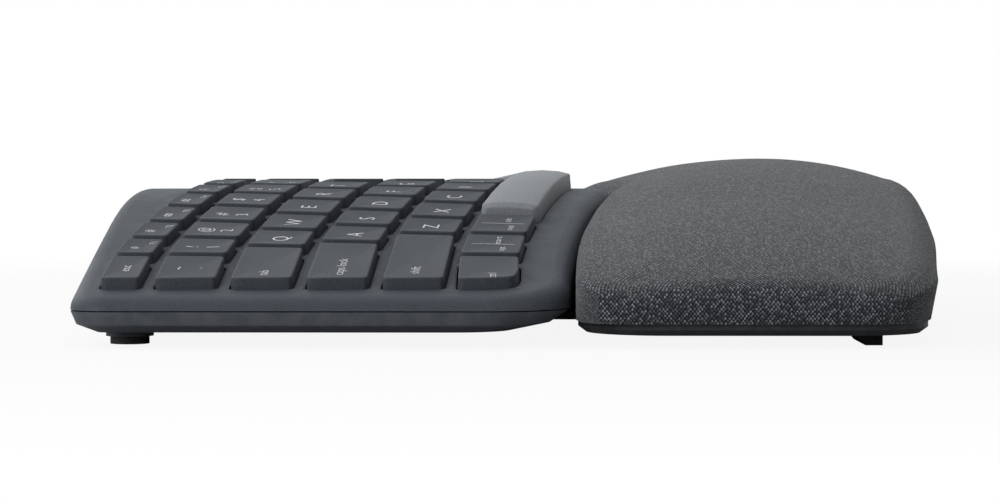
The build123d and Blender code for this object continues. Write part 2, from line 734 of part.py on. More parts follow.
def contacts():
    """Sprung plates at both ends of the cells."""
    found = []
    for end in (-1, 1):
        plate_x = BATTERY_X + end * (BAY_LENGTH - CONTACT_THICKNESS) / 2
        plate = block(CONTACT_THICKNESS, BAY_DEPTH - 2 * DOOR_CLEARANCE, CELL_HEIGHT - CELL_RADIUS,
                      CELL_HEIGHT + CELL_RADIUS, plate_x, BATTERY_Y)
        reach = CONTACT_ROOM - CONTACT_THICKNESS - SEAT_GAP
        for side in (-1, 1):
            x = BATTERY_X + end * (BAY_LENGTH / 2 - CONTACT_THICKNESS - reach / 2)
            place = Pos(x, BATTERY_Y + side * CELL_SPACING / 2, CELL_HEIGHT) * Rot(0, RIGHT_ANGLE, 0)
            plate += place * Cylinder(CELL_RADIUS / 2, reach)
        found.append(plate)
    return found


def battery_door():
    """Flap with a rounded hinge edge, a finger groove and two saddles for the cells."""
    length, half = BAY_LENGTH - 2 * DOOR_CLEARANCE, DOOR_THICKNESS / 2
    top = BOTTOM_HEIGHT + DOOR_THICKNESS
    front = BATTERY_Y - BAY_DEPTH / 2 + DOOR_CLEARANCE
    middle, depth = (front + DOOR_HINGE_Y) / 2, DOOR_HINGE_Y - front
    door = block(length, depth, BOTTOM_HEIGHT, top, BATTERY_X, middle)
    door += Pos(BATTERY_X, DOOR_HINGE_Y, DOOR_HINGE_Z) * Rot(0, RIGHT_ANGLE, 0) * Cylinder(half, length)
    for side in (-1, 1):
        door += block(BATTERY_WALL, depth / 2, top, top + SADDLE_HEIGHT - SEAT_GAP,
                      BATTERY_X + side * length / 4, middle)
    groove = Pos(BATTERY_X, front + DOOR_TAB_RUN, BOTTOM_HEIGHT) * Rot(0, RIGHT_ANGLE, 0)
    return door - groove * Cylinder(half, DOOR_TAB_WIDTH)


def power_switch():
    """Sliding knob with a flange that keeps it in its slot."""
    floor = BOTTOM_HEIGHT + FLOOR_THICKNESS
    flange = floor + SWITCH_CLEARANCE
    knob = block(SWITCH_WIDTH, SWITCH_DEPTH, BOTTOM_HEIGHT - SWITCH_PROUD, flange + SWITCH_FLANGE,
                 SWITCH_X, SWITCH_Y)
    return knob + block(SWITCH_WIDTH + SWITCH_TRAVEL + SWITCH_FLANGE * 2, SWITCH_DEPTH + SWITCH_FLANGE * 2,
                        flange, flange + SWITCH_FLANGE, SWITCH_X, SWITCH_Y)


# Palm rest

def corner_pull(distance, radius):
    """How far a rounded corner draws an edge in at a distance from its end."""
    if distance >= radius:
        return 0.0
    return radius - (radius**2 - (radius - distance) ** 2) ** 0.5


def palm_section(x, inset, base):
    """Closed outline of the palm rest across one place along its width."""
    ends = HALF_WIDTH - inset
    distance = ends - abs(x)
    pull = inset + corner_pull(distance, PALM_CORNER_RADIUS - inset)
    back = FRAME_FRONT_Y - PALM_SEAM_GAP - sweep_back(x)
    rear, front = back - pull, back - PALM_DEPTH + pull
    fall = corner_pull(distance, max(PALM_END_FALL - inset, 0.0))
    rise = dome_height(x) + PALM_RISE - fall - inset - PALM_SEAT_HEIGHT

    def at(share):
        return PALM_SEAT_HEIGHT + rise * share

    shoulder, roll = (rear, at(REAR_SHOULDER_SHARE)), (rear - REAR_ROLL, at(REAR_ROLL_SHARE))
    crown = (rear + (front - rear) * CROWN_PLACE / PALM_DEPTH, at(1))
    knee, front_roll = (front, at(FRONT_KNEE_SHARE)), (front + FRONT_ROLL, at(FRONT_ROLL_SHARE))
    line = Line((rear, base), shoulder) + arc_out(shoulder, roll) + ThreePointArc(roll, crown, front_roll)
    line += arc_out(front_roll, knee) + Line(knee, (front, base)) + Line((front, base), (rear, base))
    return make_face(Plane(origin=(x, 0, 0), x_dir=(0, 1, 0), z_dir=(1, 0, 0)) * line)


def arc_out(start, end):
    """Arc over the palm rest's edge, bulging up and outwards."""
    run, rise = end[0] - start[0], end[1] - start[1]
    middle = ((start[0] + end[0]) / 2 + rise * ROLL_BULGE_SHARE, (start[1] + end[1]) / 2 - run * ROLL_BULGE_SHARE)
    return ThreePointArc(start, middle, end)


def palm_form(inset, base):
    """Crowned body of the palm rest, drawn in by an inset."""
    ends = HALF_WIDTH - inset
    crest_run, bend_run = edge_runs()
    near = [share * (PALM_CORNER_RADIUS - inset) for share in END_STATION_SHARES]
    places = [side * (ends - distance) for side in (-1, 1) for distance in near]
    for run in (0.0, crest_run, bend_run, (bend_run + EDGE_HALF_RUN) / 2):
        places += [CREST_X - run, CREST_X + run]
    flat = CREST_X + EDGE_HALF_RUN
    places += [flat, (flat + ends - PALM_CORNER_RADIUS) / 2]
    return loft([palm_section(x, inset, base) for x in sorted(set(places))])


def palm_support_body():
    """Hollow hump with ribs across it, open below and cut round the leg pockets."""
    inset = COVER_THICKNESS + FOAM_THICKNESS + LAYER_GAP
    count = int((HALF_WIDTH - PALM_CORNER_RADIUS) / RIB_SPACING)
    ribs = [
        block(RIB_THICKNESS, 2 * PALM_DEPTH, 0.0, CREST_HEIGHT * 2, step * RIB_SPACING, FRAME_FRONT_Y - PALM_DEPTH)
        for step in range(-count, count + 1)
    ]
    hollow = palm_form(inset + SUPPORT_WALL, PALM_SEAT_HEIGHT - OVERRUN) - ribs
    pockets = [leg_pocket(side, LAYER_GAP) for side in (-1, 1)]
    return palm_form(inset, PALM_SEAT_HEIGHT) - hollow - pockets


def leg_pocket(side, extra):
    """Box that holds a leg pocket's walls, grown by an extra."""
    width = LONG_LEG_WIDTH + 2 * (LEG_CLEARANCE + LEG_POCKET_WALL + extra)
    depth = POCKET_REAR - POCKET_FRONT + 2 * (LEG_POCKET_WALL + extra)
    middle = (POCKET_REAR + POCKET_FRONT) / 2
    return block(width, depth, PALM_BASE_HEIGHT, POCKET_ROOF + LEG_POCKET_WALL + extra, side * LEG_X, middle)


def palm_rest_base_body():
    """Chamfered tray under the palm rest, with pockets for the legs."""
    rings = [
        raised(palm_outline(PALM_BASE_CHAMFER), PALM_BASE_HEIGHT),
        raised(palm_outline(COVER_THICKNESS), PALM_BASE_HEIGHT + PALM_BASE_CHAMFER / 2),
        raised(palm_outline(COVER_THICKNESS), PALM_SEAT_HEIGHT - SEAM_REVEAL),
    ]
    body = loft(rings, ruled=True)
    for x in tongue_places():
        body += tongue(x, 0.0)
    middle = (POCKET_REAR + POCKET_FRONT) / 2
    for side in (-1, 1):
        body += leg_pocket(side, 0.0)
        body -= block(LONG_LEG_WIDTH + 2 * LEG_CLEARANCE, POCKET_REAR - POCKET_FRONT, 0.0, POCKET_ROOF,
                      side * LEG_X, middle)
        body -= Pos(side * LEG_X, POCKET_REAR, 0) * Cylinder(
            LEG_FINGER_RADIUS, PALM_SEAT_HEIGHT - SEAM_REVEAL - LEG_POCKET_WALL,
            align=(Align.CENTER, Align.CENTER, Align.MIN))
        body -= leg_pin(side)
    return body


# Legs

def leg_pin(side):
    """Steel pin that both legs of a pocket turn on."""
    length = LONG_LEG_WIDTH + 2 * LEG_CLEARANCE + 2 * LEG_POCKET_WALL
    place = Pos(side * LEG_X, LEG_HINGE_Y, LEG_HINGE_HEIGHT) * Rot(0, RIGHT_ANGLE, 0)
    return place * Cylinder(LEG_PIN_RADIUS, length)


def leg(side, width, length):
    """Solid leg folded towards the rear, with a barrel round the pin."""
    half = LEG_THICKNESS / 2
    low, high = LEG_HINGE_HEIGHT - half, LEG_HINGE_HEIGHT + half
    body = block(width, length, low, high, side * LEG_X, LEG_HINGE_Y + length / 2)
    tip = body.edges().filter_by(Axis.X).sort_by(Axis.Y)[-2:]
    body = chamfer(tip, half / 2)
    place = Pos(side * LEG_X, LEG_HINGE_Y, LEG_HINGE_HEIGHT) * Rot(0, RIGHT_ANGLE, 0)
    body += place * Cylinder(LEG_BARREL_RADIUS, width)
    return body - place * Cylinder(LEG_PIN_RADIUS + LEG_PIN_CLEARANCE, width + OVERRUN)


def long_leg(side):
    """Outer leg, open in the middle for the short one."""
    window = LONG_LEG_WIDTH - 2 * LEG_ARM
    reach = LONG_LEG_LENGTH - LEG_ARM + LEG_BARREL_RADIUS + OVERRUN
    middle = LEG_HINGE_Y - LEG_BARREL_RADIUS - OVERRUN + reach / 2
    return leg(side, LONG_LEG_WIDTH, LONG_LEG_LENGTH) - block(window, reach, 0.0, CREST_HEIGHT, side * LEG_X, middle)


def short_leg(side):
    """Inner leg that swings out for the smaller tilt."""
    return leg(side, LONG_LEG_WIDTH - 2 * LEG_ARM - 2 * LEG_CLEARANCE, SHORT_LEG_LENGTH)


def feet():
    """Round feet under the rear corners and wide ones under the palm rest."""
    found = [
        Pos(x, y, 0) * Cylinder(FOOT_RADIUS, FOOT_HEIGHT, align=(Align.CENTER, Align.CENTER, Align.MIN))
        for x, y in rear_feet()
    ]
    for side in (-1, 1):
        pad = block(FRONT_FOOT_WIDTH, FRONT_FOOT_DEPTH, 0.0, PALM_BASE_HEIGHT, side * FRONT_FOOT_X, FRONT_FOOT_Y)
        rear_edge = pad.edges().filter_by(Axis.X).group_by(Axis.Z)[0].sort_by(Axis.Y)[-1]
        found.append(chamfer(rear_edge, PALM_BASE_HEIGHT - SEAT_GAP, FRONT_FOOT_RUN))
    return found


# Build and write

def save(node, solids):
    """Write one node, its solids kept apart."""
    shape = Compound(children=solids) if isinstance(solids, list) else solids
    shape.label = node
    export_step(shape, os.path.join("parts", node + ".step"))


def main():
    """Build every piece of the keyboard."""
    os.makedirs("parts", exist_ok=True)
    keys = all_cells()
    plate_depth = SHELL_THICKNESS + MEMBRANE_GAP + MEMBRANE_THICKNESS + SEAT_GAP
    save("top_case", top_case_body([cell.well() for _, cell in keys]))
    save("bottom_case", bottom_case_body(plate_depth + PLATE_THICKNESS))
    save("membrane_sheet", dome_layer(SHELL_THICKNESS + MEMBRANE_GAP, MEMBRANE_THICKNESS))
    save("key_plate", dome_layer(plate_depth, PLATE_THICKNESS))
    save("rubber_domes", [cell.rubber_dome() for _, cell in keys])
    save("scissor_levers", [lever for _, cell in keys for lever in cell.levers()])
    groups = {}
    for node, cell in keys:
        if not node.startswith("space_bar"):
            groups.setdefault(node, []).append(cell.cap())
    groups["space_bar_left"] = [space_bar(-FIELD_HALF_WIDTH, 1, *bar_place(LEFT_ROWS))]
    groups["space_bar_right"] = [space_bar(LETTERS_END_X, -1, *bar_place(RIGHT_ROWS))]
    for node, solids in groups.items():
        save(node, solids)
    save("screws", screws())
    save("circuit_board", circuit_board())
    save("battery_cells", cells())
    save("battery_contacts", contacts())
    save("battery_door", battery_door())
    save("power_switch", power_switch())
    lens = Pos(LENS_X, LENS_Y, 0) * Cylinder(LENS_RADIUS, CREST_HEIGHT * 2)
    save("status_light_lens", lens & (dome_solid(0.0) - dome_solid(SHELL_THICKNESS)))
    save("palm_rest_base", palm_rest_base_body())
    skin, core = COVER_THICKNESS + LAYER_GAP, COVER_THICKNESS + FOAM_THICKNESS
    low = PALM_SEAT_HEIGHT - OVERRUN
    save("palm_rest_cover", palm_form(0.0, PALM_SEAT_HEIGHT) - palm_form(COVER_THICKNESS, low))
    save("palm_rest_foam", palm_form(skin, PALM_SEAT_HEIGHT) - palm_form(core, low))
    save("palm_rest_support", palm_support_body())
    for side, name in ((-1, "left"), (1, "right")):
        save("long_leg_" + name, long_leg(side))
        save("short_leg_" + name, short_leg(side))
    save("leg_pins", [leg_pin(side) for side in (-1, 1)])
    save("rubber_feet", feet())


main()
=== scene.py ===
"""Ergonomic split keyboard: its looks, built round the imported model.

Every piece is in metres, in the model's own frame: +X to the typist's right, +Y away from the typist, +Z up.
"""

from __future__ import annotations

import json
import logging
import math
from dataclasses import dataclass, field
from enum import Enum

import bmesh
import bpy
import numpy as np
from mathutils import Matrix, Vector
from mathutils.bvhtree import BVHTree
from mathutils.geometry import tessellate_polygon

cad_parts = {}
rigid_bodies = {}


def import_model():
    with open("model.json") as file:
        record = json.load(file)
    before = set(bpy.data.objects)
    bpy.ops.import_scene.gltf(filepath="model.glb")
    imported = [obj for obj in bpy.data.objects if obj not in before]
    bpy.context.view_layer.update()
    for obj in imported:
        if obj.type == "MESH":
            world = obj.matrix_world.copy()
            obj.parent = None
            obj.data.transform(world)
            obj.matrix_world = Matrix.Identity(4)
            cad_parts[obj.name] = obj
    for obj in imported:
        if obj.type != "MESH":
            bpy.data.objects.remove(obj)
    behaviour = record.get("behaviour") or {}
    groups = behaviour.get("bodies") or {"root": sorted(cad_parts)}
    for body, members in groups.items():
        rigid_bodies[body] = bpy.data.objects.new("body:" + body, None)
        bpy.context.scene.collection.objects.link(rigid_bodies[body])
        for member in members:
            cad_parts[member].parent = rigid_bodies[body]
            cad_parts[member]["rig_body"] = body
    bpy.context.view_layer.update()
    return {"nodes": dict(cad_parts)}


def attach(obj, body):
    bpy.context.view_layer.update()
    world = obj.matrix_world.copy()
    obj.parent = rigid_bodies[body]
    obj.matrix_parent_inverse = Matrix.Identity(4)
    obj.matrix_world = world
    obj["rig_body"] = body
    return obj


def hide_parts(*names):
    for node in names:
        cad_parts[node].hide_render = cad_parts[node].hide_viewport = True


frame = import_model()

MM = 0.001
ROOT = "root"
LOG = logging.getLogger("keyboard")
Colour = tuple[float, float, float]
Skin = tuple[list[Vector], list[tuple[int, ...]]]
NUMBER_SOCKET = "NodeSocketFloat"
MERGE_STEP = 0.002 * MM
CREASE_DEGREES = 42.0


# Shape of the dome

@dataclass(frozen=True)
class Dome:
    """Long arch that the frame and the keys follow: two flanks and two arcs that meet at the crest."""

    crest_x: float = -72.0 * MM
    crest_height: float = 38.3 * MM
    left_radius: float = 320.0 * MM
    right_radius: float = 1200.0 * MM
    left_angle: float = math.radians(12.0)
    right_angle: float = math.radians(6.4)

    def height(self, x: float) -> float:
        """Height of the dome over the table.

        Args:
            x: Place along the keyboard.

        Returns:
            The surface's height there.
        """
        left = x < self.crest_x
        radius, angle = (self.left_radius, self.left_angle) if left else (self.right_radius, self.right_angle)
        run = abs(x - self.crest_x)
        reach = radius * math.sin(angle)
        if run < reach:
            return self.crest_height - radius + math.sqrt(radius**2 - run**2)
        return self.crest_height - radius * (1 - math.cos(angle)) - (run - reach) * math.tan(angle)


DOME = Dome()


# Meshes

@dataclass
class Draft:
    """Points and faces of a piece while it is being made."""

    points: list[Vector] = field(default_factory=list)
    faces: list[tuple[int, ...]] = field(default_factory=list)
    places: list[tuple[float, float]] = field(default_factory=list)

    def add(self, points: list[Vector], faces: list[tuple[int, ...]]) -> None:
        """Adds a patch.

        Args:
            points: Its points.
            faces: Its faces, as indices into those points.
        """
        start = len(self.points)
        self.points += points
        self.faces += [tuple(start + index for index in face) for face in faces]

    def tree(self, first_face: int = 0) -> BVHTree:
        """Search tree over the faces from a given one on."""
        return BVHTree.FromPolygons([tuple(p) for p in self.points], self.faces[first_face:])

    def piece(self, name: str, material: bpy.types.Material,
              smooth_degrees: float = CREASE_DEGREES) -> bpy.types.Object:
        """Makes the object.

        Args:
            name: The piece's name.
            material: Its finish.
            smooth_degrees: Edges that turn by less are shaded smooth.

        Returns:
            The new object, at the origin.
        """
        mesh = bpy.data.meshes.new(name)
        mesh.from_pydata([tuple(p) for p in self.points], [], self.faces)
        mesh.materials.append(material)
        if self.places:
            layer = mesh.uv_layers.new(name="cloth")
            for loop in mesh.loops:
                layer.data[loop.index].uv = self.places[loop.vertex_index]
        return shown(name, mesh, smooth_degrees)


def shown(name: str, mesh: bpy.types.Mesh, smooth_degrees: float) -> bpy.types.Object:
    """Puts a mesh in the scene with smooth shading up to an angle."""
    mesh.shade_smooth()
    mesh.set_sharp_from_angle(angle=math.radians(smooth_degrees))
    piece = bpy.data.objects.new(name, mesh)
    bpy.context.scene.collection.objects.link(piece)
    return piece


def bridged(rings: list[list[Vector]], foot: bool, middle: Vector | None) -> Skin:
    """Skin through closed rings of equal length.

    Args:
        rings: The rings, from the foot up, each counter-clockwise from above.
        foot: Whether the first ring is closed by a face.
        middle: Point that closes the last ring, or nothing.

    Returns:
        The points and the faces.
    """
    count = len(rings[0])
    points = [point for ring in rings for point in ring]
    faces = []
    for low in range(len(rings) - 1):
        for index in range(count):
            after = (index + 1) % count
            here, over = low * count, (low + 1) * count
            faces.append((here + index, here + after, over + after, over + index))
    if foot:
        faces.append(tuple(reversed(range(count))))
    if middle is not None:
        last = (len(rings) - 1) * count
        points.append(middle)
        faces += [(last + i, last + (i + 1) % count, len(points) - 1) for i in range(count)]
    return points, faces


def merged_copy(node: str) -> bmesh.types.BMesh:
    """Copy of a CAD node's mesh with its loose triangles joined."""
    work = bmesh.new()
    work.from_mesh(frame["nodes"][node].data)
    bmesh.ops.remove_doubles(work, verts=work.verts, dist=MERGE_STEP)
    return work


# Materials

STITCH_SHAPE = (1.0, 0.82, 1.0)
STITCH_TURN = (0.0, 0.0, math.radians(45.0))


class ShaderGroup:
    """A shader node group with named inputs, and named masks or heights as outputs."""

    def __init__(self, name: str, inputs: dict[str, float], outputs: tuple[str, ...]) -> None:
        """Makes the empty group.

        Args:
            name: The group's name.
            inputs: Its number inputs and their defaults.
            outputs: Names of its outputs.
        """
        self.tree = bpy.data.node_groups.new(name, "ShaderNodeTree")
        for label, value in inputs.items():
            socket = self.tree.interface.new_socket(label, in_out="INPUT", socket_type=NUMBER_SOCKET)
            socket.default_value = value
        for label in outputs:
            self.tree.interface.new_socket(label, in_out="OUTPUT", socket_type=NUMBER_SOCKET)
        self.inputs = self.tree.nodes.new("NodeGroupInput")
        self.outputs = self.tree.nodes.new("NodeGroupOutput")

    def node(self, kind: str, links: dict | None = None, **settings: object) -> bpy.types.Node:
        """Adds a node to the group."""
        return wired(self.tree, kind, links, **settings)

    def give(self, label: str, socket: bpy.types.NodeSocket) -> None:
        """Sends a socket out of the group."""
        self.tree.links.new(socket, self.outputs.inputs[label])


def wired(tree: bpy.types.NodeTree, kind: str, links: dict | None = None,
          **settings: object) -> bpy.types.Node:
    """Adds a node and sets it.

    Args:
        tree: The tree that it goes into.
        kind: The node's type.
        links: Input names or indices, each with a socket to link or a value to set.
        settings: Properties of the node.

    Returns:
        The node.
    """
    node = tree.nodes.new(kind)
    for name, value in settings.items():
        setattr(node, name, value)
    for key, value in (links or {}).items():
        if isinstance(value, bpy.types.NodeSocket):
            tree.links.new(value, node.inputs[key])
        else:
            node.inputs[key].default_value = value
    return node


def grain_group() -> bpy.types.NodeTree:
    """Fine spark-eroded grain of a moulding: a height and a mask of slow colour change."""
    group = ShaderGroup("mould_grain", {"Scale": 3000.0, "Cloud Scale": 30.0}, ("Height", "Cloud", "Speck"))
    place = group.node("ShaderNodeTexCoord").outputs["Object"]
    fine = group.node("ShaderNodeTexNoise", {"Vector": place, "Scale": group.inputs.outputs["Scale"],
                                             "Detail": 2.0, "Roughness": 0.55})
    cloud = group.node("ShaderNodeTexNoise", {"Vector": place, "Scale": group.inputs.outputs["Cloud Scale"],
                                              "Detail": 3.0})
    speck = group.node("ShaderNodeMapRange", {"Value": fine.outputs["Fac"], "From Min": 0.35,
                                              "From Max": 0.65})
    group.give("Height", fine.outputs["Fac"])
    group.give("Cloud", cloud.outputs["Fac"])
    group.give("Speck", speck.outputs["Result"])
    return group.tree


def wear_and_highlight_group() -> bpy.types.NodeTree:
    """Rubbed edges and a trace of handling, and a painted highlight along rims: a mask that is 1 on convex
    edges, broken by noise.
    """
    group = ShaderGroup("edge_wear", {"Amount": 0.5, "Break Scale": 220.0}, ("Mask",))
    shape = group.node("ShaderNodeNewGeometry").outputs["Pointiness"]
    edge = group.node("ShaderNodeMapRange", {"Value": shape, "From Min": 0.52, "From Max": 0.62})
    place = group.node("ShaderNodeTexCoord").outputs["Object"]
    broken = group.node("ShaderNodeTexNoise", {"Vector": place, "Scale": group.inputs.outputs["Break Scale"],
                                               "Detail": 4.0})
    part = group.node("ShaderNodeMapRange", {"Value": broken.outputs["Fac"], "From Min": 0.4,
                                             "From Max": 0.65})
    both = group.node("ShaderNodeMath", {0: edge.outputs["Result"], 1: part.outputs["Result"]},
                      operation="MULTIPLY")
    share = group.node("ShaderNodeMath", {0: both.outputs[0], 1: group.inputs.outputs["Amount"]},
                       operation="MULTIPLY")
    group.give("Mask", share.outputs[0])
    return group.tree


def knit_group() -> bpy.types.NodeTree:
    """Melange knit on the cloth's own map: staggered stitches, each of its own paleness."""
    group = ShaderGroup("melange_knit", {"Pitch": 0.8 * MM, "Pale Power": 2.0, "Pale Least": 0.12},
                        ("Height", "Fleck", "Yarn"))
    place = group.node("ShaderNodeUVMap", uv_map="cloth").outputs["UV"]
    scale = group.node("ShaderNodeMath", {0: 1.0, 1: group.inputs.outputs["Pitch"]}, operation="DIVIDE")
    tall = group.node("ShaderNodeVectorMath", {0: place, 1: STITCH_SHAPE}, operation="MULTIPLY")
    turned = group.node("ShaderNodeMapping", {"Vector": tall.outputs[0], "Rotation": STITCH_TURN})
    stitch = group.node("ShaderNodeTexVoronoi", {"Vector": turned.outputs[0], "Scale": scale.outputs[0],
                                                 "Randomness": 0.3}, voronoi_dimensions="2D")
    tone = group.node("ShaderNodeSeparateColor", {0: stitch.outputs["Color"]})
    power = group.node("ShaderNodeMath", {0: tone.outputs[0], 1: group.inputs.outputs["Pale Power"]},
                       operation="POWER")
    pale = group.node("ShaderNodeMapRange", {"Value": power.outputs[0],
                                             "To Min": group.inputs.outputs["Pale Least"]})
    round_top = group.node("ShaderNodeMapRange", {"Value": stitch.outputs["Distance"], "From Min": 0.12,
                                                  "From Max": 0.5, "To Min": 1.0, "To Max": 0.0})
    fleck = group.node("ShaderNodeMath", {0: pale.outputs["Result"], 1: round_top.outputs["Result"]},
                       operation="MULTIPLY")
    group.give("Height", round_top.outputs["Result"])
    group.give("Fleck", fleck.outputs[0])
    group.give("Yarn", tone.outputs[1])
    return group.tree


GRAIN, WEAR_AND_HIGHLIGHT, KNIT = grain_group(), wear_and_highlight_group(), knit_group()


@dataclass(frozen=True)
class Moulding:
    """Moulded plastic or rubber with a fine grain, cloudy tone, and a second colour on convex edges that is
    partly rubbed wear and partly a painted rim highlight.
    """

    name: str
    colour: Colour
    worn: Colour
    roughness: float = 0.55
    grain_scale: float = 3000.0
    grain_depth: float = 0.03 * MM
    grain_strength: float = 0.35
    wear: float = 0.5
    wear_gloss: float = 0.18
    specular: float = 0.1
    metallic: float = 0.0
    cloud_tones: tuple[float, float] = (0.86, 1.14)
    speck_tones: tuple[float, float] = (0.78, 1.26)
    speck_share: float = 0.6
    dull_range: tuple[float, float] = (-0.05, 0.06)

    def build(self) -> bpy.types.Material:
        """Makes the material."""
        material, tree, surface = blank(self.name)
        grain = wired(tree, "ShaderNodeGroup", node_tree=GRAIN)
        grain.inputs["Scale"].default_value = self.grain_scale
        wear = wired(tree, "ShaderNodeGroup", node_tree=WEAR_AND_HIGHLIGHT)
        wear.inputs["Amount"].default_value = self.wear
        cloud, speck = (
            mixed(tree, grain.outputs[label], toned(self.colour, low), toned(self.colour, high))
            for label, (low, high) in (("Cloud", self.cloud_tones), ("Speck", self.speck_tones)))
        tone = mixed(tree, None, cloud, speck, factor=self.speck_share)
        # Convex rims take the second colour: partly real rubbing, partly a painted highlight along the rims.
        colour = mixed(tree, wear.outputs["Mask"], tone, self.worn)
        least, most = (self.roughness + step for step in self.dull_range)
        dull = wired(tree, "ShaderNodeMapRange", {"Value": grain.outputs["Cloud"], "From Min": 0.3,
                                                  "From Max": 0.7, "To Min": least, "To Max": most})
        gloss = wired(tree, "ShaderNodeMath", {0: wear.outputs["Mask"], 1: self.wear_gloss},
                      operation="MULTIPLY")
        rough = wired(tree, "ShaderNodeMath", {0: dull.outputs["Result"], 1: gloss.outputs[0]},
                      operation="SUBTRACT")
        bump = wired(tree, "ShaderNodeBump", {"Height": grain.outputs["Height"], "Distance": self.grain_depth,
                                              "Strength": self.grain_strength})
        tree.links.new(colour, surface.inputs["Base Color"])
        tree.links.new(rough.outputs[0], surface.inputs["Roughness"])
        tree.links.new(bump.outputs["Normal"], surface.inputs["Normal"])
        surface.inputs["Specular IOR Level"].default_value = self.specular
        surface.inputs["Metallic"].default_value = self.metallic
        return material


@dataclass(frozen=True)
class MelangeKnit:
    """Stretch knit of the palm rest: dark yarns with pale ones among them, and painted shade in the grooves
    between stitches.
    """

    name: str
    dark: Colour
    middle: Colour
    pale: Colour
    pitch: float = 0.68 * MM
    pale_power: float = 1.7
    depth: float = 0.16 * MM
    relief: float = 0.8
    groove_tone: float = 0.45
    fibre_scale: float = 6000.0
    fibre_share: float = 0.35
    roughness: float = 0.92
    specular: float = 0.2
    sheen: float = 0.22
    sheen_roughness: float = 0.45

    def build(self) -> bpy.types.Material:
        """Makes the material."""
        material, tree, surface = blank(self.name)
        knit = wired(tree, "ShaderNodeGroup", node_tree=KNIT)
        knit.inputs["Pitch"].default_value = self.pitch
        knit.inputs["Pale Power"].default_value = self.pale_power
        grain = wired(tree, "ShaderNodeGroup", node_tree=GRAIN)
        grain.inputs["Scale"].default_value = self.fibre_scale
        yarn = mixed(tree, knit.outputs["Yarn"], self.dark, self.middle)
        # Painted shade: the colour darkens toward the edge of each stitch, where the grooves between stitches
        # are.
        groove_shade = mixed(tree, knit.outputs["Height"], toned(self.dark, self.groove_tone), yarn)
        colour = mixed(tree, knit.outputs["Fleck"], groove_shade, self.pale)
        total = wired(tree, "ShaderNodeMath", {0: grain.outputs["Height"], 1: self.fibre_share,
                                               2: knit.outputs["Height"]}, operation="MULTIPLY_ADD")
        bump = wired(tree, "ShaderNodeBump", {"Height": total.outputs[0], "Distance": self.depth,
                                              "Strength": self.relief})
        tree.links.new(colour, surface.inputs["Base Color"])
        tree.links.new(bump.outputs["Normal"], surface.inputs["Normal"])
        surface.inputs["Roughness"].default_value = self.roughness
        surface.inputs["Specular IOR Level"].default_value = self.specular
        surface.inputs["Sheen Weight"].default_value = self.sheen
        surface.inputs["Sheen Roughness"].default_value = self.sheen_roughness
        return material


def toned(colour: Colour, share: float) -> Colour:
    """A colour made darker or lighter by a share."""
    return tuple(channel * share for channel in colour)


def blank(name: str) -> tuple[bpy.types.Material, bpy.types.NodeTree, bpy.types.Node]:
    """New material with its tree and its principled shader."""
    material = bpy.data.materials.new(name)
    material.use_nodes = True
    return material, material.node_tree, material.node_tree.nodes["Principled BSDF"]


def mixed(tree: bpy.types.NodeTree, mask: bpy.types.NodeSocket | None, low: object, high: object,
          factor: float = 0.5) -> bpy.types.NodeSocket:
    """Mixes two colours.

    Args:
        tree: The material's tree.
        mask: Socket that mixes them, or nothing for a fixed factor.
        low: Colour or socket where the mask is 0.
        high: Colour or socket where the mask is 1.
        factor: The fixed factor.

    Returns:
        The mixed colour's socket.
    """
    node = wired(tree, "ShaderNodeMix", data_type="RGBA")
    ends = [socket for socket in node.inputs if socket.type == "RGBA"]
    for socket, value in zip(ends, (low, high)):
        if isinstance(value, bpy.types.NodeSocket):
            tree.links.new(value, socket)
        else:
            socket.default_value = (*value, 1.0)
    if mask is None:
        node.inputs[0].default_value = factor
    else:
        tree.links.new(mask, node.inputs[0])
    return next(socket for socket in node.outputs if socket.type == "RGBA")


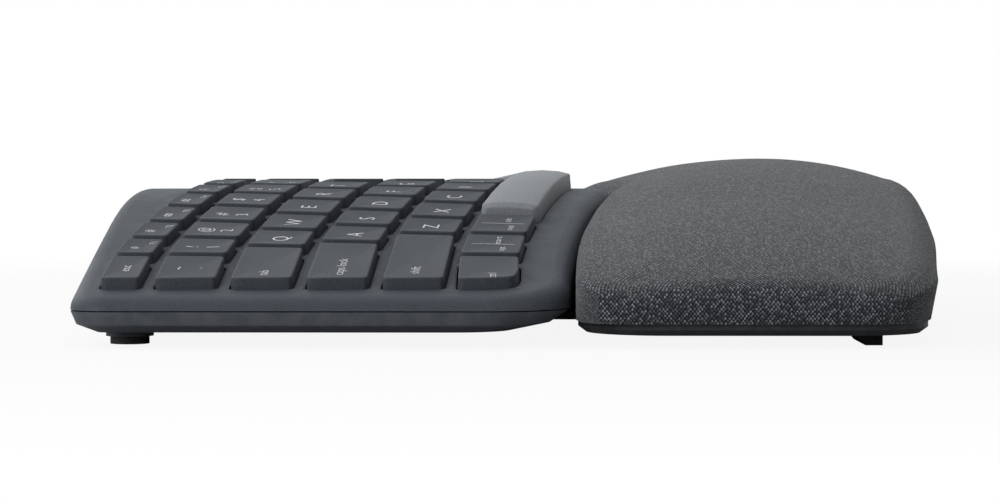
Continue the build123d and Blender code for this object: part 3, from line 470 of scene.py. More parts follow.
@dataclass(frozen=True)
class Finishes:
    """Every finish of the keyboard, by the piece that has it."""

    # Each moulding's second colour goes on convex edges: partly rubbed wear, partly a painted rim highlight.
    frame: Moulding = Moulding("frame_graphite", (0.055, 0.063, 0.074), (0.11, 0.118, 0.128), roughness=0.62)
    caps: Moulding = Moulding("cap_graphite", (0.050, 0.057, 0.067), (0.11, 0.115, 0.12), roughness=0.62,
                              grain_scale=1900.0, grain_depth=0.025 * MM)
    bars: Moulding = Moulding("bar_grey", (0.215, 0.228, 0.245), (0.27, 0.28, 0.29), roughness=0.55)
    print: Moulding = Moulding("legend_print", (0.62, 0.63, 0.64), (0.5, 0.51, 0.52), roughness=0.5,
                               grain_strength=0.1)
    base: Moulding = Moulding("base_black", (0.028, 0.030, 0.034), (0.07, 0.072, 0.076), roughness=0.5,
                              grain_scale=1800.0, grain_depth=0.05 * MM)
    side: Moulding = Moulding("tray_graphite", (0.066, 0.074, 0.086), (0.12, 0.125, 0.13), roughness=0.55)
    leg: Moulding = Moulding("leg_black", (0.033, 0.035, 0.038), (0.08, 0.082, 0.085), roughness=0.48)
    knob: Moulding = Moulding("switch_green", (0.06, 0.36, 0.13), (0.25, 0.5, 0.28), roughness=0.4)
    rubber: Moulding = Moulding("foot_rubber", (0.018, 0.018, 0.019), (0.05, 0.05, 0.05), roughness=0.78,
                                grain_scale=1500.0, grain_depth=0.06 * MM, specular=0.3)
    steel: Moulding = Moulding("blackened_steel", (0.16, 0.16, 0.165), (0.42, 0.42, 0.42), roughness=0.36,
                               wear=0.9, metallic=1.0)
    # Painted shade: the key plate is near black so that the gaps round the keys read as shaded wells.
    plate: Moulding = Moulding("blacked_steel", (0.03, 0.03, 0.032), (0.06, 0.06, 0.06), roughness=0.5)
    film: Moulding = Moulding("printed_film", (0.42, 0.44, 0.42), (0.5, 0.5, 0.5), roughness=0.3)
    silicone: Moulding = Moulding("dome_silicone", (0.55, 0.55, 0.56), (0.6, 0.6, 0.6), roughness=0.55)
    lever: Moulding = Moulding("lever_white", (0.66, 0.66, 0.64), (0.72, 0.72, 0.7), roughness=0.4)
    board: Moulding = Moulding("board_green", (0.02, 0.12, 0.05), (0.05, 0.2, 0.1), roughness=0.35)
    cell: Moulding = Moulding("cell_jacket", (0.10, 0.10, 0.12), (0.3, 0.3, 0.3), roughness=0.35)
    contact: Moulding = Moulding("plated_contact", (0.65, 0.64, 0.6), (0.7, 0.7, 0.66), roughness=0.25,
                                 metallic=1.0)
    lens: Moulding = Moulding("frosted_lens", (0.42, 0.46, 0.43), (0.5, 0.52, 0.5), roughness=0.25,
                              grain_strength=0.1)
    foam: Moulding = Moulding("foam_grey", (0.12, 0.12, 0.12), (0.16, 0.16, 0.16), roughness=0.95)
    knit: MelangeKnit = MelangeKnit("melange_knit", (0.013, 0.016, 0.021), (0.028, 0.033, 0.040),
                                    (0.26, 0.285, 0.315))


@dataclass(frozen=True)
class Swatches:
    """The finishes once they are built."""

    made: dict[str, bpy.types.Material]

    def __getitem__(self, name: str) -> bpy.types.Material:
        """The material of a finish, by its field's name."""
        return self.made[name]

    @classmethod
    def of(cls, finishes: Finishes) -> Swatches:
        """Builds every finish."""
        return cls({name: getattr(finishes, name).build() for name in finishes.__dataclass_fields__})


# Keys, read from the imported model

@dataclass
class KeyPlace:
    """One key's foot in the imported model: its corners in its own plane, and its axes."""

    body: str
    centre: Vector
    along: Vector
    across: Vector
    normal: Vector
    corners: list[Vector]
    radii: list[float]

    @property
    def width(self) -> float:
        """Size along the row."""
        return max(c.x for c in self.corners) - min(c.x for c in self.corners)

    @property
    def depth(self) -> float:
        """Size across the row."""
        return max(c.y for c in self.corners) - min(c.y for c in self.corners)

    def world(self, x: float, y: float, z: float) -> Vector:
        """Point over the key's foot, bent with the dome.

        Args:
            x: Place along the row.
            y: Place across it.
            z: Height over the dome.

        Returns:
            The point in the keyboard's frame.
        """
        flat = self.centre + self.along * x + self.across * y
        bend = (DOME.height(flat.x) - flat.z) * self.normal.z
        return flat + self.normal * (z + bend)

    def outline(self, inset: float, side_length: float) -> list[Vector]:
        """Closed outline drawn in, its corners round and its sides divided.

        Args:
            inset: How far the sides move in.
            side_length: Greatest length of a step along a side.

        Returns:
            Points in the key's own plane, counter-clockwise.
        """
        moved = inward(self.corners, inset)
        found: list[Vector] = []
        arcs = [round_corner(moved, index, max(self.radii[index] - inset, LEAST_RADIUS))
                for index in range(len(moved))]
        for index, arc in enumerate(arcs):
            following = arcs[(index + 1) % len(arcs)]
            corner, ahead = self.corners[index], self.corners[(index + 1) % len(self.corners)]
            steps = max(2, math.ceil((ahead - corner).length / side_length))
            found += arc
            found += [arc[-1].lerp(following[0], step / steps) for step in range(1, steps)]
        return found


CORNER_STEPS = 5
LONG_SIDE = 4.0 * MM
CAP_RADIUS = 2.0 * MM
FOOT_DEPTH = 1.3 * MM
FOOT_BAND = 0.1 * MM
LEAST_RADIUS = 0.5 * MM
DOWNWARD = -0.7


def inward(corners: list[Vector], inset: float) -> list[Vector]:
    """Corners of a counter-clockwise outline after each side moves in."""
    moved = []
    for index, here in enumerate(corners):
        arriving = (here - corners[index - 1]).normalized()
        leaving = (corners[(index + 1) % len(corners)] - here).normalized()
        first, second = Vector((-arriving.y, arriving.x)), Vector((-leaving.y, leaving.x))
        moved.append(here + (first + second) * (inset / (1 + first.dot(second))))
    return moved


def round_corner(corners: list[Vector], index: int, radius: float) -> list[Vector]:
    """Arc in place of one corner of a counter-clockwise outline."""
    here = corners[index]
    arriving = (here - corners[index - 1]).normalized()
    leaving = (corners[(index + 1) % len(corners)] - here).normalized()
    turn = math.atan2(arriving.x * leaving.y - arriving.y * leaving.x, arriving.dot(leaving))
    start = here - arriving * radius * math.tan(turn / 2)
    side = Vector((-arriving.y, arriving.x))
    middle = start + side * radius
    return [middle - Matrix.Rotation(turn * step / CORNER_STEPS, 2) @ side * radius
            for step in range(CORNER_STEPS + 1)]


def solids_of(mesh: bpy.types.Mesh) -> list[tuple[np.ndarray, np.ndarray]]:
    """Splits a CAD node's mesh into its solids.

    Args:
        mesh: The node's mesh, loose triangles.

    Returns:
        For each solid its points, and its triangles as indices into them.
    """
    points = np.empty(len(mesh.vertices) * 3)
    mesh.vertices.foreach_get("co", points)
    points = points.reshape(-1, 3)
    mesh.calc_loop_triangles()
    corners = np.empty(len(mesh.loop_triangles) * 3, np.int32)
    mesh.loop_triangles.foreach_get("vertices", corners)
    _, first, index = np.unique(np.round(points / MERGE_STEP).astype(np.int64), axis=0, return_index=True,
                                return_inverse=True)
    triangles = index.reshape(-1)[corners].reshape(-1, 3)
    label = np.arange(len(first))
    while True:
        lowest = label.copy()
        np.minimum.at(lowest, triangles.ravel(), np.repeat(label[triangles].min(axis=1), 3))
        lowest = lowest[lowest]
        if (lowest == label).all():
            break
        label = lowest
    found = []
    for name in np.unique(label):
        chosen = triangles[label[triangles[:, 0]] == name]
        used, local = np.unique(chosen, return_inverse=True)
        found.append((points[first[used]], local.reshape(-1, 3)))
    return found


def key_place(body: str, points: np.ndarray, triangles: np.ndarray) -> KeyPlace:
    """Reads one cap's foot.

    Args:
        body: The body that the cap rides on.
        points: The cap's points.
        triangles: Its triangles.

    Returns:
        The key's place.
    """
    a, b, c = (points[triangles[:, k]] for k in range(3))
    crossed = np.cross(b - a, c - a)
    down = crossed[:, 2] < DOWNWARD * np.linalg.norm(crossed, axis=1)
    normal = Vector(-crossed[down].sum(axis=0)).normalized()
    heights = points @ np.array(normal)
    foot = [Vector(point) for point in points[heights < heights.min() + FOOT_BAND]]
    middle = sum(foot, Vector()) / len(foot)
    along = (Vector((1, 0, 0)) - normal * normal.x).normalized()
    across = normal.cross(along)

    def flat(point: Vector) -> Vector:
        """A point in the foot's plane."""
        return Vector(((point - middle).dot(along), (point - middle).dot(across)))

    ring = sorted((flat(point) for point in foot), key=lambda p: math.atan2(p.y, p.x))
    sides = [(ring[i - 1], ring[i]) for i in range(len(ring)) if (ring[i] - ring[i - 1]).length > LONG_SIDE]
    level = max(sides, key=lambda side: (side[1] - side[0]).normalized().x)
    opposite = min(sides, key=lambda side: (side[1] - side[0]).normalized().x)
    row = ((level[1] - level[0]).normalized() - (opposite[1] - opposite[0]).normalized()).normalized()
    turn = Matrix.Rotation(-math.atan2(row.y, row.x), 2)
    start = sides.index(level)
    sides = [tuple(turn @ end for end in side) for side in sides[start:] + sides[:start]]
    corners = [crossing(sides[index - 1], sides[index]) for index in range(len(sides))]
    cuts = [(sides[index][0] - corner).length for index, corner in enumerate(corners)]
    new_along = along * row.x + across * row.y
    centre = middle + normal * FOOT_DEPTH
    return KeyPlace(body, centre, new_along, normal.cross(new_along), normal, corners,
                    [max(cut, CAP_RADIUS) for cut in cuts])


def crossing(first: tuple[Vector, Vector], second: tuple[Vector, Vector]) -> Vector:
    """Where two sides meet when they are drawn on."""
    p, r = first[0], first[1] - first[0]
    q, s = second[0], second[1] - second[0]
    share = ((q.x - p.x) * s.y - (q.y - p.y) * s.x) / (r.x * s.y - r.y * s.x)
    return p + r * share


def reading_order(places: list[KeyPlace], rows: tuple[int, ...]) -> list[KeyPlace]:
    """Sorts keys from the far row to the near one, and each row from left to right.

    Args:
        places: The keys.
        rows: How many keys each row has.

    Returns:
        The keys in reading order.
    """
    left = sorted(places, key=lambda place: -place.centre.y)
    found = []
    for count in rows:
        row, left = left[:count], left[count:]
        found += sorted(row, key=lambda place: place.centre.x)
    return found


# Marks on the caps

class Seat(Enum):
    """Where a mark sits: shares of the cap's half width and half depth, and how it lines up."""

    CENTRE = (0.0, 0.0, "CENTER")
    HEAD = (0.0, 0.34, "CENTER")
    FOOT = (0.0, -0.34, "CENTER")
    START = (-0.76, 0.0, "LEFT")
    END = (0.76, 0.0, "RIGHT")
    HEAD_START = (-0.62, 0.3, "LEFT")
    SMALL_FOOT = (0.5, -0.52, "CENTER")
    ICON = (-0.1, 0.22, "CENTER")
    LEFT_HALF = (-0.42, -0.3, "CENTER")
    RIGHT_HALF = (0.44, -0.1, "CENTER")


class Icon(Enum):
    """Plain signs drawn from bars, discs and rings."""

    SUN = "sun"
    DIM_SUN = "dim sun"
    KEYS_LIT = "lit keys"
    KEYS_DARK = "dark keys"
    SPEECH = "speech"
    SEARCH = "search"
    BACK = "back"
    PLAY = "play"
    NEXT = "next"
    MUTE = "mute"
    QUIETER = "quieter"
    LOUDER = "louder"
    LOCK = "lock"
    UP = "up"
    DOWN = "down"
    LEFT = "left"
    RIGHT = "right"
    DIVIDER = "divider"
    CALCULATOR = "calculator"
    CAMERA = "camera"


@dataclass(frozen=True)
class Mark:
    """One mark: a word, a character or an icon, with its height and its seat."""

    what: str | Icon
    seat: Seat = Seat.CENTRE
    height: float = 4.2 * MM


WORD = 2.3 * MM
SMALL_WORD = 1.75 * MM
WORD_STRETCH = 1.4
STROKE_TRIM = -0.012
SIGN = 3.3 * MM
ICON_HEIGHT = 3.0 * MM
DIVIDER_LENGTH = 11.5 * MM
CURVE_STEPS = 3


def word(text: str, seat: Seat = Seat.START) -> tuple[Mark, ...]:
    """A key marked with one small word."""
    return (Mark(text, seat, WORD),)


def pair(shifted: str, plain: str) -> tuple[Mark, ...]:
    """A key with its shifted sign over its plain one."""
    return (Mark(shifted, Seat.HEAD, SIGN), Mark(plain, Seat.FOOT, SIGN))


def function(name: str, icon: Icon) -> tuple[Mark, ...]:
    """A function key with its icon and its small name."""
    return (Mark(icon, Seat.ICON, ICON_HEIGHT), Mark(name, Seat.SMALL_FOOT, SMALL_WORD))


def split(left: str, right: str) -> tuple[Mark, ...]:
    """A key with two words and a line between them."""
    return (Mark(left, Seat.LEFT_HALF, SMALL_WORD), Mark(Icon.DIVIDER, Seat.CENTRE, DIVIDER_LENGTH),
            Mark(right, Seat.RIGHT_HALF, SMALL_WORD))


def one(text: str) -> tuple[Mark, ...]:
    """A key with one large character."""
    return (Mark(text),)


def sign(icon: Icon) -> tuple[Mark, ...]:
    """A key with one icon."""
    return (Mark(icon, Seat.CENTRE, ICON_HEIGHT),)


GROUP_ROWS = {
    "function_keys_left": (7,), "function_keys_right": (7,),
    "number_keys_left": (7,), "number_keys_right": (7,),
    "side_keys_left": (1, 1, 1, 1, 1, 1), "side_keys_right": (3, 3, 4, 3),
    "navigation_keys": (3, 3, 3, 1, 3), "numpad_keys": (4, 4, 3, 1, 3, 3, 1, 2),
}
GROUP_MARKS = {
    "function_keys_left": [
        word("esc", Seat.CENTRE), function("F1", Icon.DIM_SUN), function("F2", Icon.SUN),
        function("F3", Icon.KEYS_DARK), function("F4", Icon.KEYS_LIT), function("F5", Icon.SEARCH),
        function("F6", Icon.SPEECH)],
    "function_keys_right": [
        function("F7", Icon.BACK), function("F8", Icon.PLAY), function("F9", Icon.NEXT),
        function("F10", Icon.MUTE), function("F11", Icon.QUIETER), function("F12", Icon.LOUDER),
        sign(Icon.LOCK)],
    "number_keys_left": [pair("~", "`"), pair("!", "1"), pair("@", "2"), pair("#", "3"), pair("$", "4"),
                         pair("%", "5"), pair("^", "6")],
    "number_keys_right": [pair("&", "7"), pair("*", "8"), pair("(", "9"), pair(")", "0"), pair("_", "-"),
                          pair("+", "="), word("backspace", Seat.END)],
    "side_keys_left": [word("tab"), word("caps lock"), word("shift"), word("ctrl"), split("opt", "start"),
                       split("cmd", "alt")],
    "side_keys_right": [pair("{", "["), pair("}", "]"), pair("|", "\\"), pair(":", ";"), pair('"', "'"),
                        word("enter", Seat.END), pair("<", ","), pair(">", "."), pair("?", "/"),
                        word("shift", Seat.END), split("alt", "opt"), word("fn", Seat.CENTRE),
                        word("ctrl", Seat.END)],
    "navigation_keys": [word("print", Seat.CENTRE), word("scroll", Seat.CENTRE), word("pause", Seat.CENTRE),
                        word("insert", Seat.CENTRE), word("home", Seat.CENTRE), word("page up", Seat.CENTRE),
                        word("delete", Seat.CENTRE), word("end", Seat.CENTRE), word("page dn", Seat.CENTRE),
                        sign(Icon.UP), sign(Icon.LEFT), sign(Icon.DOWN), sign(Icon.RIGHT)],
    "numpad_keys": [sign(Icon.CALCULATOR), sign(Icon.CAMERA), sign(Icon.SEARCH), sign(Icon.LOCK),
                    word("num lock", Seat.CENTRE), one("/"), one("*"), one("-"), one("7"), one("8"), one("9"),
                    one("+"), one("4"), one("5"), one("6"), one("1"), one("2"), one("3"),
                    word("enter", Seat.CENTRE), one("0"), one(".")],
}


class SignBoard:
    """Draws icons as flat polygons, one unit high about the origin."""

    line = 0.09

    def __init__(self) -> None:
        """Starts with no shapes."""
        self.shapes: list[list[Vector]] = []

    def bar(self, start: tuple[float, float], end: tuple[float, float], width: float | None = None) -> None:
        """Straight stroke between two points."""
        a, b = Vector(start), Vector(end)
        run = (b - a).normalized() * (width or self.line) / 2
        side = Vector((-run.y, run.x))
        self.shapes.append([a - side, b - side, b + side, a + side])

    def disc(self, centre: tuple[float, float], radius: float, sides: int = 14) -> None:
        """Filled round."""
        turns = [2 * math.pi * step / sides for step in range(sides)]
        self.shapes.append([Vector((centre[0] + radius * math.cos(t), centre[1] + radius * math.sin(t)))
                            for t in turns])

    def arc(self, centre: tuple[float, float], radius: float, first: float = 0.0, last: float = 360.0,
            steps: int = 16) -> None:
        """Open or closed ring of the stroke's width, between two angles in degrees."""
        for step in range(steps):
            low, high = (math.radians(first + (last - first) * k / steps) for k in (step, step + 1))
            inner, outer = radius - self.line / 2, radius + self.line / 2
            self.shapes.append([Vector((centre[0] + r * math.cos(t), centre[1] + r * math.sin(t)))
                                for r, t in ((inner, low), (outer, low), (outer, high), (inner, high))])

    def shape(self, *points: tuple[float, float]) -> None:
        """Filled polygon."""
        self.shapes.append([Vector(point) for point in points])

    def frame_of(self, left: float, low: float, right: float, high: float) -> None:
        """Open rectangle."""
        for start, end in (((left, low), (right, low)), ((right, low), (right, high)),
                           ((right, high), (left, high)), ((left, high), (left, low))):
            self.bar(start, end)

    def rays(self, inner: float, outer: float, count: int = 8) -> None:
        """Short strokes round the middle."""
        for step in range(count):
            turn = 2 * math.pi * step / count
            reach = Vector((math.cos(turn), math.sin(turn)))
            self.bar(tuple(reach * inner), tuple(reach * outer))

    def speaker(self) -> None:
        """Loudspeaker with its cone to the right."""
        self.shape((-0.45, -0.15), (-0.25, -0.15), (0.0, -0.38), (0.0, 0.38), (-0.25, 0.15), (-0.45, 0.15))

    def key_block(self) -> None:
        """Outline of a small keyboard with a bar in it."""
        self.frame_of(-0.55, -0.3, 0.55, 0.12)
        self.bar((-0.25, -0.1), (0.25, -0.1))

    def draw(self, icon: Icon) -> list[list[Vector]]:
        """Draws one icon.

        Args:
            icon: The icon.

        Returns:
            Its polygons.
        """
        self.shapes = []
        if icon in (Icon.SUN, Icon.DIM_SUN):
            self.arc((0, 0), 0.2)
            self.rays(0.32, 0.5 if icon is Icon.SUN else 0.4)
        elif icon in (Icon.KEYS_LIT, Icon.KEYS_DARK):
            self.key_block()
            self.bar((0, 0.22), (0, 0.45 if icon is Icon.KEYS_LIT else 0.3))
            for side in (-1, 1):
                self.bar((side * 0.25, 0.2), (side * 0.4, 0.4 if icon is Icon.KEYS_LIT else 0.28))
        elif icon is Icon.SPEECH:
            self.arc((0, 0.1), 0.16)
            self.arc((0, 0.0), 0.33, 200, 340)
            self.bar((0, -0.33), (0, -0.5))
        elif icon is Icon.SEARCH:
            self.arc((-0.08, 0.08), 0.3)
            self.bar((0.14, -0.14), (0.42, -0.42), 0.13)
        elif icon in (Icon.BACK, Icon.NEXT):
            side = 1 if icon is Icon.NEXT else -1
            for start in (-0.5, 0.0):
                self.shape((side * start, -0.32), (side * (start + 0.45), 0.0), (side * start, 0.32))
            self.bar((side * 0.5, -0.32), (side * 0.5, 0.32))
        elif icon is Icon.PLAY:
            self.shape((-0.5, -0.34), (0.02, 0.0), (-0.5, 0.34))
            self.bar((0.2, -0.34), (0.2, 0.34), 0.12)
            self.bar((0.42, -0.34), (0.42, 0.34), 0.12)
        elif icon in (Icon.MUTE, Icon.QUIETER, Icon.LOUDER):
            self.speaker()
            if icon is Icon.MUTE:
                self.bar((0.15, -0.15), (0.45, 0.15))
                self.bar((0.15, 0.15), (0.45, -0.15))
            else:
                self.arc((0.0, 0.0), 0.22, -50, 50, 6)
            if icon is Icon.LOUDER:
                self.arc((0.0, 0.0), 0.4, -50, 50, 8)
        elif icon is Icon.LOCK:
            self.shape((-0.32, -0.42), (0.32, -0.42), (0.32, 0.08), (-0.32, 0.08))
            self.arc((0.0, 0.12), 0.22, 0, 180, 8)
        elif icon in (Icon.UP, Icon.DOWN, Icon.LEFT, Icon.RIGHT):
            quarters = (Icon.UP, Icon.LEFT, Icon.DOWN, Icon.RIGHT).index(icon)
            turn = Matrix.Rotation(quarters * math.pi / 2, 2)
            self.shapes = [[turn @ Vector(point) for point in ((-0.34, -0.26), (0.34, -0.26), (0.0, 0.36))]]
        elif icon is Icon.DIVIDER:
            self.bar((0.0, -0.5), (0.0, 0.5), 0.022)
        elif icon is Icon.CALCULATOR:
            self.frame_of(-0.34, -0.5, 0.34, 0.5)
            self.bar((-0.16, 0.26), (0.16, 0.26), 0.16)
            for row in range(3):
                for column in range(3):
                    self.disc(((column - 1) * 0.18, 0.02 - row * 0.18), 0.05, 8)
        elif icon is Icon.CAMERA:
            self.frame_of(-0.5, -0.34, 0.5, 0.26)
            self.arc((0.0, -0.04), 0.16)
            self.bar((-0.14, 0.36), (0.14, 0.36))
        return self.shapes


class TypeCase:
    """Turns marks into flat triangles, with the height of a capital as its measure."""

    def __init__(self) -> None:
        """Measures a capital letter at size 1."""
        self.signs = SignBoard()
        self.capital = 1.0
        points, _ = self.letters("H", "CENTER")
        self.capital = max(p.y for p in points) - min(p.y for p in points)

    def letters(self, text: str, align: str) -> Skin:
        """Flat mesh of a text whose capitals are 1 high, centred across its line."""
        curve = bpy.data.curves.new("mark", "FONT")
        curve.body, curve.align_x, curve.resolution_u = text, align, CURVE_STEPS
        curve.size = 1.0 / self.capital
        curve.offset = STROKE_TRIM
        stretch = WORD_STRETCH if len(text) > 1 and text.islower() else 1.0
        holder = bpy.data.objects.new("mark", curve)
        mesh = bpy.data.meshes.new_from_object(holder)
        mesh.calc_loop_triangles()
        points = [Vector((vertex.co.x * stretch, vertex.co.y)) for vertex in mesh.vertices]
        faces = [tuple(triangle.vertices) for triangle in mesh.loop_triangles]
        bpy.data.objects.remove(holder)
        bpy.data.curves.remove(curve)
        bpy.data.meshes.remove(mesh)
        middle = 0.5 if any(c.isupper() or c.isdigit() for c in text) or len(text) > 1 else None
        if middle is None:
            middle = (max(p.y for p in points) + min(p.y for p in points)) / 2
        return [Vector((p.x, p.y - middle)) for p in points], faces

    def mark(self, mark: Mark) -> Skin:
        """Flat mesh of a mark at its real height."""
        if isinstance(mark.what, Icon):
            points: list[Vector] = []
            faces: list[tuple[int, ...]] = []
            for shape in self.signs.draw(mark.what):
                start = len(points)
                points += shape
                cut = tessellate_polygon([[point.to_3d() for point in shape]])
                faces += [tuple(start + index for index in triangle) for triangle in cut]
        else:
            points, faces = self.letters(mark.what, mark.seat.value[2])
        return [point * mark.height for point in points], faces


# Key caps

@dataclass
class KeyCaps:
    """Every cap on the board: tapered flanks, a soft rim and a scooped top, with its marks printed on it."""

    swatches: Swatches
    cap_height: float = 3.0 * MM
    foot_inset: float = 0.3 * MM
    neck_inset: float = 0.58 * MM
    flank_inset: float = 0.66 * MM
    rim_radius: float = 0.4 * MM
    rim_steps: int = 4
    dish_depth: float = 0.5 * MM
    dish_shares: tuple[float, ...] = (0.965, 0.9, 0.8, 0.66, 0.48, 0.26)
    side_step: float = 4.0 * MM
    print_lift: float = 0.015 * MM
    probe: float = 3.0 * MM
    home_bar: tuple[float, float, float] = (3.4 * MM, 0.75 * MM, 0.32 * MM)
    home_share: float = -0.66
    home_sink: float = 0.7

    def rings(self, place: KeyPlace) -> tuple[list[list[Vector]], Vector]:
        """Rings of one cap from its foot to its dish.

        Args:
            place: The key.

        Returns:
            The rings, and the middle of the dish.
        """
        levels = [(self.foot_inset, -FOOT_DEPTH), (self.neck_inset, 0.0),
                  (self.flank_inset, self.cap_height - self.rim_radius)]
        for step in range(1, self.rim_steps + 1):
            turn = math.pi / 2 * step / self.rim_steps
            levels.append((self.flank_inset + self.rim_radius * (1 - math.cos(turn)),
                           self.cap_height - self.rim_radius * (1 - math.sin(turn))))
        rings = [[place.world(p.x, p.y, height) for p in place.outline(inset, self.side_step)]
                 for inset, height in levels]
        rim = place.outline(levels[-1][0], self.side_step)
        middle = sum(rim, Vector((0, 0))) / len(rim)
        for share in self.dish_shares:
            low = self.cap_height - self.dish_depth * (1 - share**2)
            rings.append([place.world(*(middle + (p - middle) * share), low) for p in rim])
        return rings, place.world(*middle, self.cap_height - self.dish_depth)

    def add_home_bar(self, place: KeyPlace, draft: Draft) -> None:
        """Adds the low ridge that a finger finds on f and j."""
        length, width, height = self.home_bar
        work = bmesh.new()
        bmesh.ops.create_uvsphere(work, u_segments=16, v_segments=8, radius=0.5)
        work.verts.index_update()
        y = place.depth / 2 * self.home_share
        base = self.cap_height - self.dish_depth * self.home_sink
        points = [place.world(v.co.x * length, y + v.co.y * width, base + v.co.z * height * 2)
                  for v in work.verts]
        draft.add(points, [tuple(v.index for v in f.verts) for f in work.faces])
        work.free()

    def print_marks(self, place: KeyPlace, marks: tuple[Mark, ...], cap: BVHTree, case: TypeCase,
                    draft: Draft) -> None:
        """Lays a key's marks on its cap.

        Args:
            place: The key.
            marks: Its marks.
            cap: Search tree of its cap.
            case: Maker of flat marks.
            draft: The print so far.
        """
        for mark in marks:
            share_x, share_y, _ = mark.seat.value
            points, faces = case.mark(mark)
            offset = Vector((share_x * place.width / 2, share_y * place.depth / 2))
            laid = []
            for point in points:
                x, y = point + offset
                above = place.world(x, y, self.probe + self.cap_height)
                hit = cap.ray_cast(above, -place.normal)[0]
                laid.append((hit or place.world(x, y, self.cap_height)) + place.normal * self.print_lift)
            draft.add(laid, faces)

    def build(self) -> list[KeyPlace]:
        """Makes the caps and the print of every body of keys.

        Returns:
            The place of every key, for the wells.
        """
        case = TypeCase()
        found: list[KeyPlace] = []
        for node, cad in frame["nodes"].items():
            if not (node.startswith("key_") or node in GROUP_ROWS) or node == "key_plate":
                continue
            places = [key_place(node, *solid) for solid in solids_of(cad.data)]
            places = reading_order(places, GROUP_ROWS.get(node, (1,)))
            marks = GROUP_MARKS.get(node, [one(node[-1].upper())])
            caps, prints = Draft(), Draft()
            for place, key_marks in zip(places, marks, strict=True):
                first = len(caps.faces)
                rings, middle = self.rings(place)
                caps.add(*bridged(rings, True, middle))
                self.print_marks(place, key_marks, caps.tree(first), case, prints)
                if node in ("key_f", "key_j"):
                    self.add_home_bar(place, caps)
            cap = caps.piece(node + "_caps", self.swatches["caps"])
            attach(cap, node)
            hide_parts(node)
            legend = prints.piece(node + "_print", self.swatches["print"])
            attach(legend, node)
            found += places
            LOG.info("caps %s: %d keys, %d faces", node, len(places), len(caps.faces))
        return found


@dataclass
class SpaceBars:
    """The two crowned bars under the thumbs."""

    swatches: Swatches
    edge_width: float = 0.5 * MM
    edge_segments: int = 4
    flat_degrees: float = 2.5
    corner_degrees: float = 30.0

    def build(self) -> None:
        """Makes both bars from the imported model's own solids, with soft edges."""
        for side in ("left", "right"):
            node = "space_bar_" + side
            bar = softened(node, node + "_cap", self.swatches["bars"], self.edge_width, self.edge_segments,
                           self.flat_degrees, self.corner_degrees)
            LOG.info("space bar %s", side)


def softened(node: str, name: str, material: bpy.types.Material, width: float, segments: int = 2,
             flat_degrees: float = 1.0, corner_degrees: float = 30.0) -> bpy.types.Object:
    """Piece with a CAD node's shape and rounded edges, which stands for it.

    Args:
        node: The CAD node.
        name: The new piece's name.
        material: Its finish.
        width: Width of the rounding.
        segments: Steps of the rounding.
        flat_degrees: Faces that turn by less are joined.
        corner_degrees: Edges that turn by more are rounded.

    Returns:
        The new piece, riding on the node's body.
    """
    work = merged_copy(node)
    bmesh.ops.dissolve_limit(work, angle_limit=math.radians(flat_degrees), verts=work.verts, edges=work.edges)
    mesh = bpy.data.meshes.new(name)
    work.to_mesh(mesh)
    work.free()
    mesh.materials.clear()
    mesh.materials.append(material)
    rough = bpy.data.objects.new(name + "_rough", mesh)
    bpy.context.scene.collection.objects.link(rough)
    bevel = rough.modifiers.new("soft edge", "BEVEL")
    bevel.width, bevel.segments, bevel.limit_method = width, segments, "ANGLE"
    bevel.angle_limit = math.radians(corner_degrees)
    bevel.miter_outer = "MITER_ARC"
    done = baked(rough, name)
    bpy.data.objects.remove(rough)
    piece = shown(name, done, corner_degrees)
    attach(piece, frame["nodes"][node]["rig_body"])
    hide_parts(node)
    return piece


def baked(source: bpy.types.Object, name: str) -> bpy.types.Mesh:
    """Plain mesh of an object with its modifiers applied."""
    bpy.context.view_layer.update()
    mesh = bpy.data.meshes.new_from_object(source.evaluated_get(bpy.context.evaluated_depsgraph_get()))
    mesh.name = name
    return mesh


# Key frame

class NodeTreeMaker:
    """Builds a Geometry Nodes tree with named inputs."""

    def __init__(self, name: str, inputs: dict[str, float]) -> None:
        """Makes the tree with a geometry input and output.

        Args:
            name: The tree's name.
            inputs: Its number inputs and their defaults.
        """
        self.tree = bpy.data.node_groups.new(name, "GeometryNodeTree")
        self.tree.interface.new_socket("Geometry", in_out="INPUT", socket_type="NodeSocketGeometry")
        for label, value in inputs.items():
            socket = self.tree.interface.new_socket(label, in_out="INPUT", socket_type=NUMBER_SOCKET)
            socket.default_value = value
        self.tree.interface.new_socket("Geometry", in_out="OUTPUT", socket_type="NodeSocketGeometry")
        self.inputs = self.tree.nodes.new("NodeGroupInput").outputs
        self.out = self.tree.nodes.new("NodeGroupOutput")

    def node(self, kind: str, links: dict | None = None, **settings: object) -> bpy.types.Node:
        """Adds a node to the tree."""
        return wired(self.tree, kind, links, **settings)

    def finish(self, geometry: bpy.types.NodeSocket, material: bpy.types.Material) -> bpy.types.NodeTree:
        """Ends the tree in real geometry with its finish."""
        real = self.node("GeometryNodeRealizeInstances", {0: geometry})
        dressed = self.node("GeometryNodeSetMaterial", {0: real.outputs[0], "Material": material})
        self.tree.links.new(dressed.outputs[0], self.out.inputs[0])
        return self.tree


def grown(name: str, seed_mesh: bpy.types.Mesh, tree: bpy.types.NodeTree, sizes: dict[str, float],
          smooth_degrees: float) -> bpy.types.Object:
    """Runs a Geometry Nodes tree over a seed mesh and keeps the result as a plain piece.

    Args:
        name: The piece's name.
        seed_mesh: Points or edges that the tree starts from.
        tree: The tree.
        sizes: Values of its named inputs.
        smooth_degrees: Edges that turn by less are shaded smooth.

    Returns:
        The finished piece.
    """
    seed = bpy.data.objects.new(name + "_seed", seed_mesh)
    bpy.context.scene.collection.objects.link(seed)
    modifier = seed.modifiers.new("grow", "NODES")
    modifier.node_group = tree
    for item in tree.interface.items_tree:
        if item.item_type == "SOCKET" and item.in_out == "INPUT" and item.name in sizes:
            modifier[item.identifier] = sizes[item.name]
    mesh = baked(seed, name)
    bpy.data.objects.remove(seed)
    return shown(name, mesh, smooth_degrees)


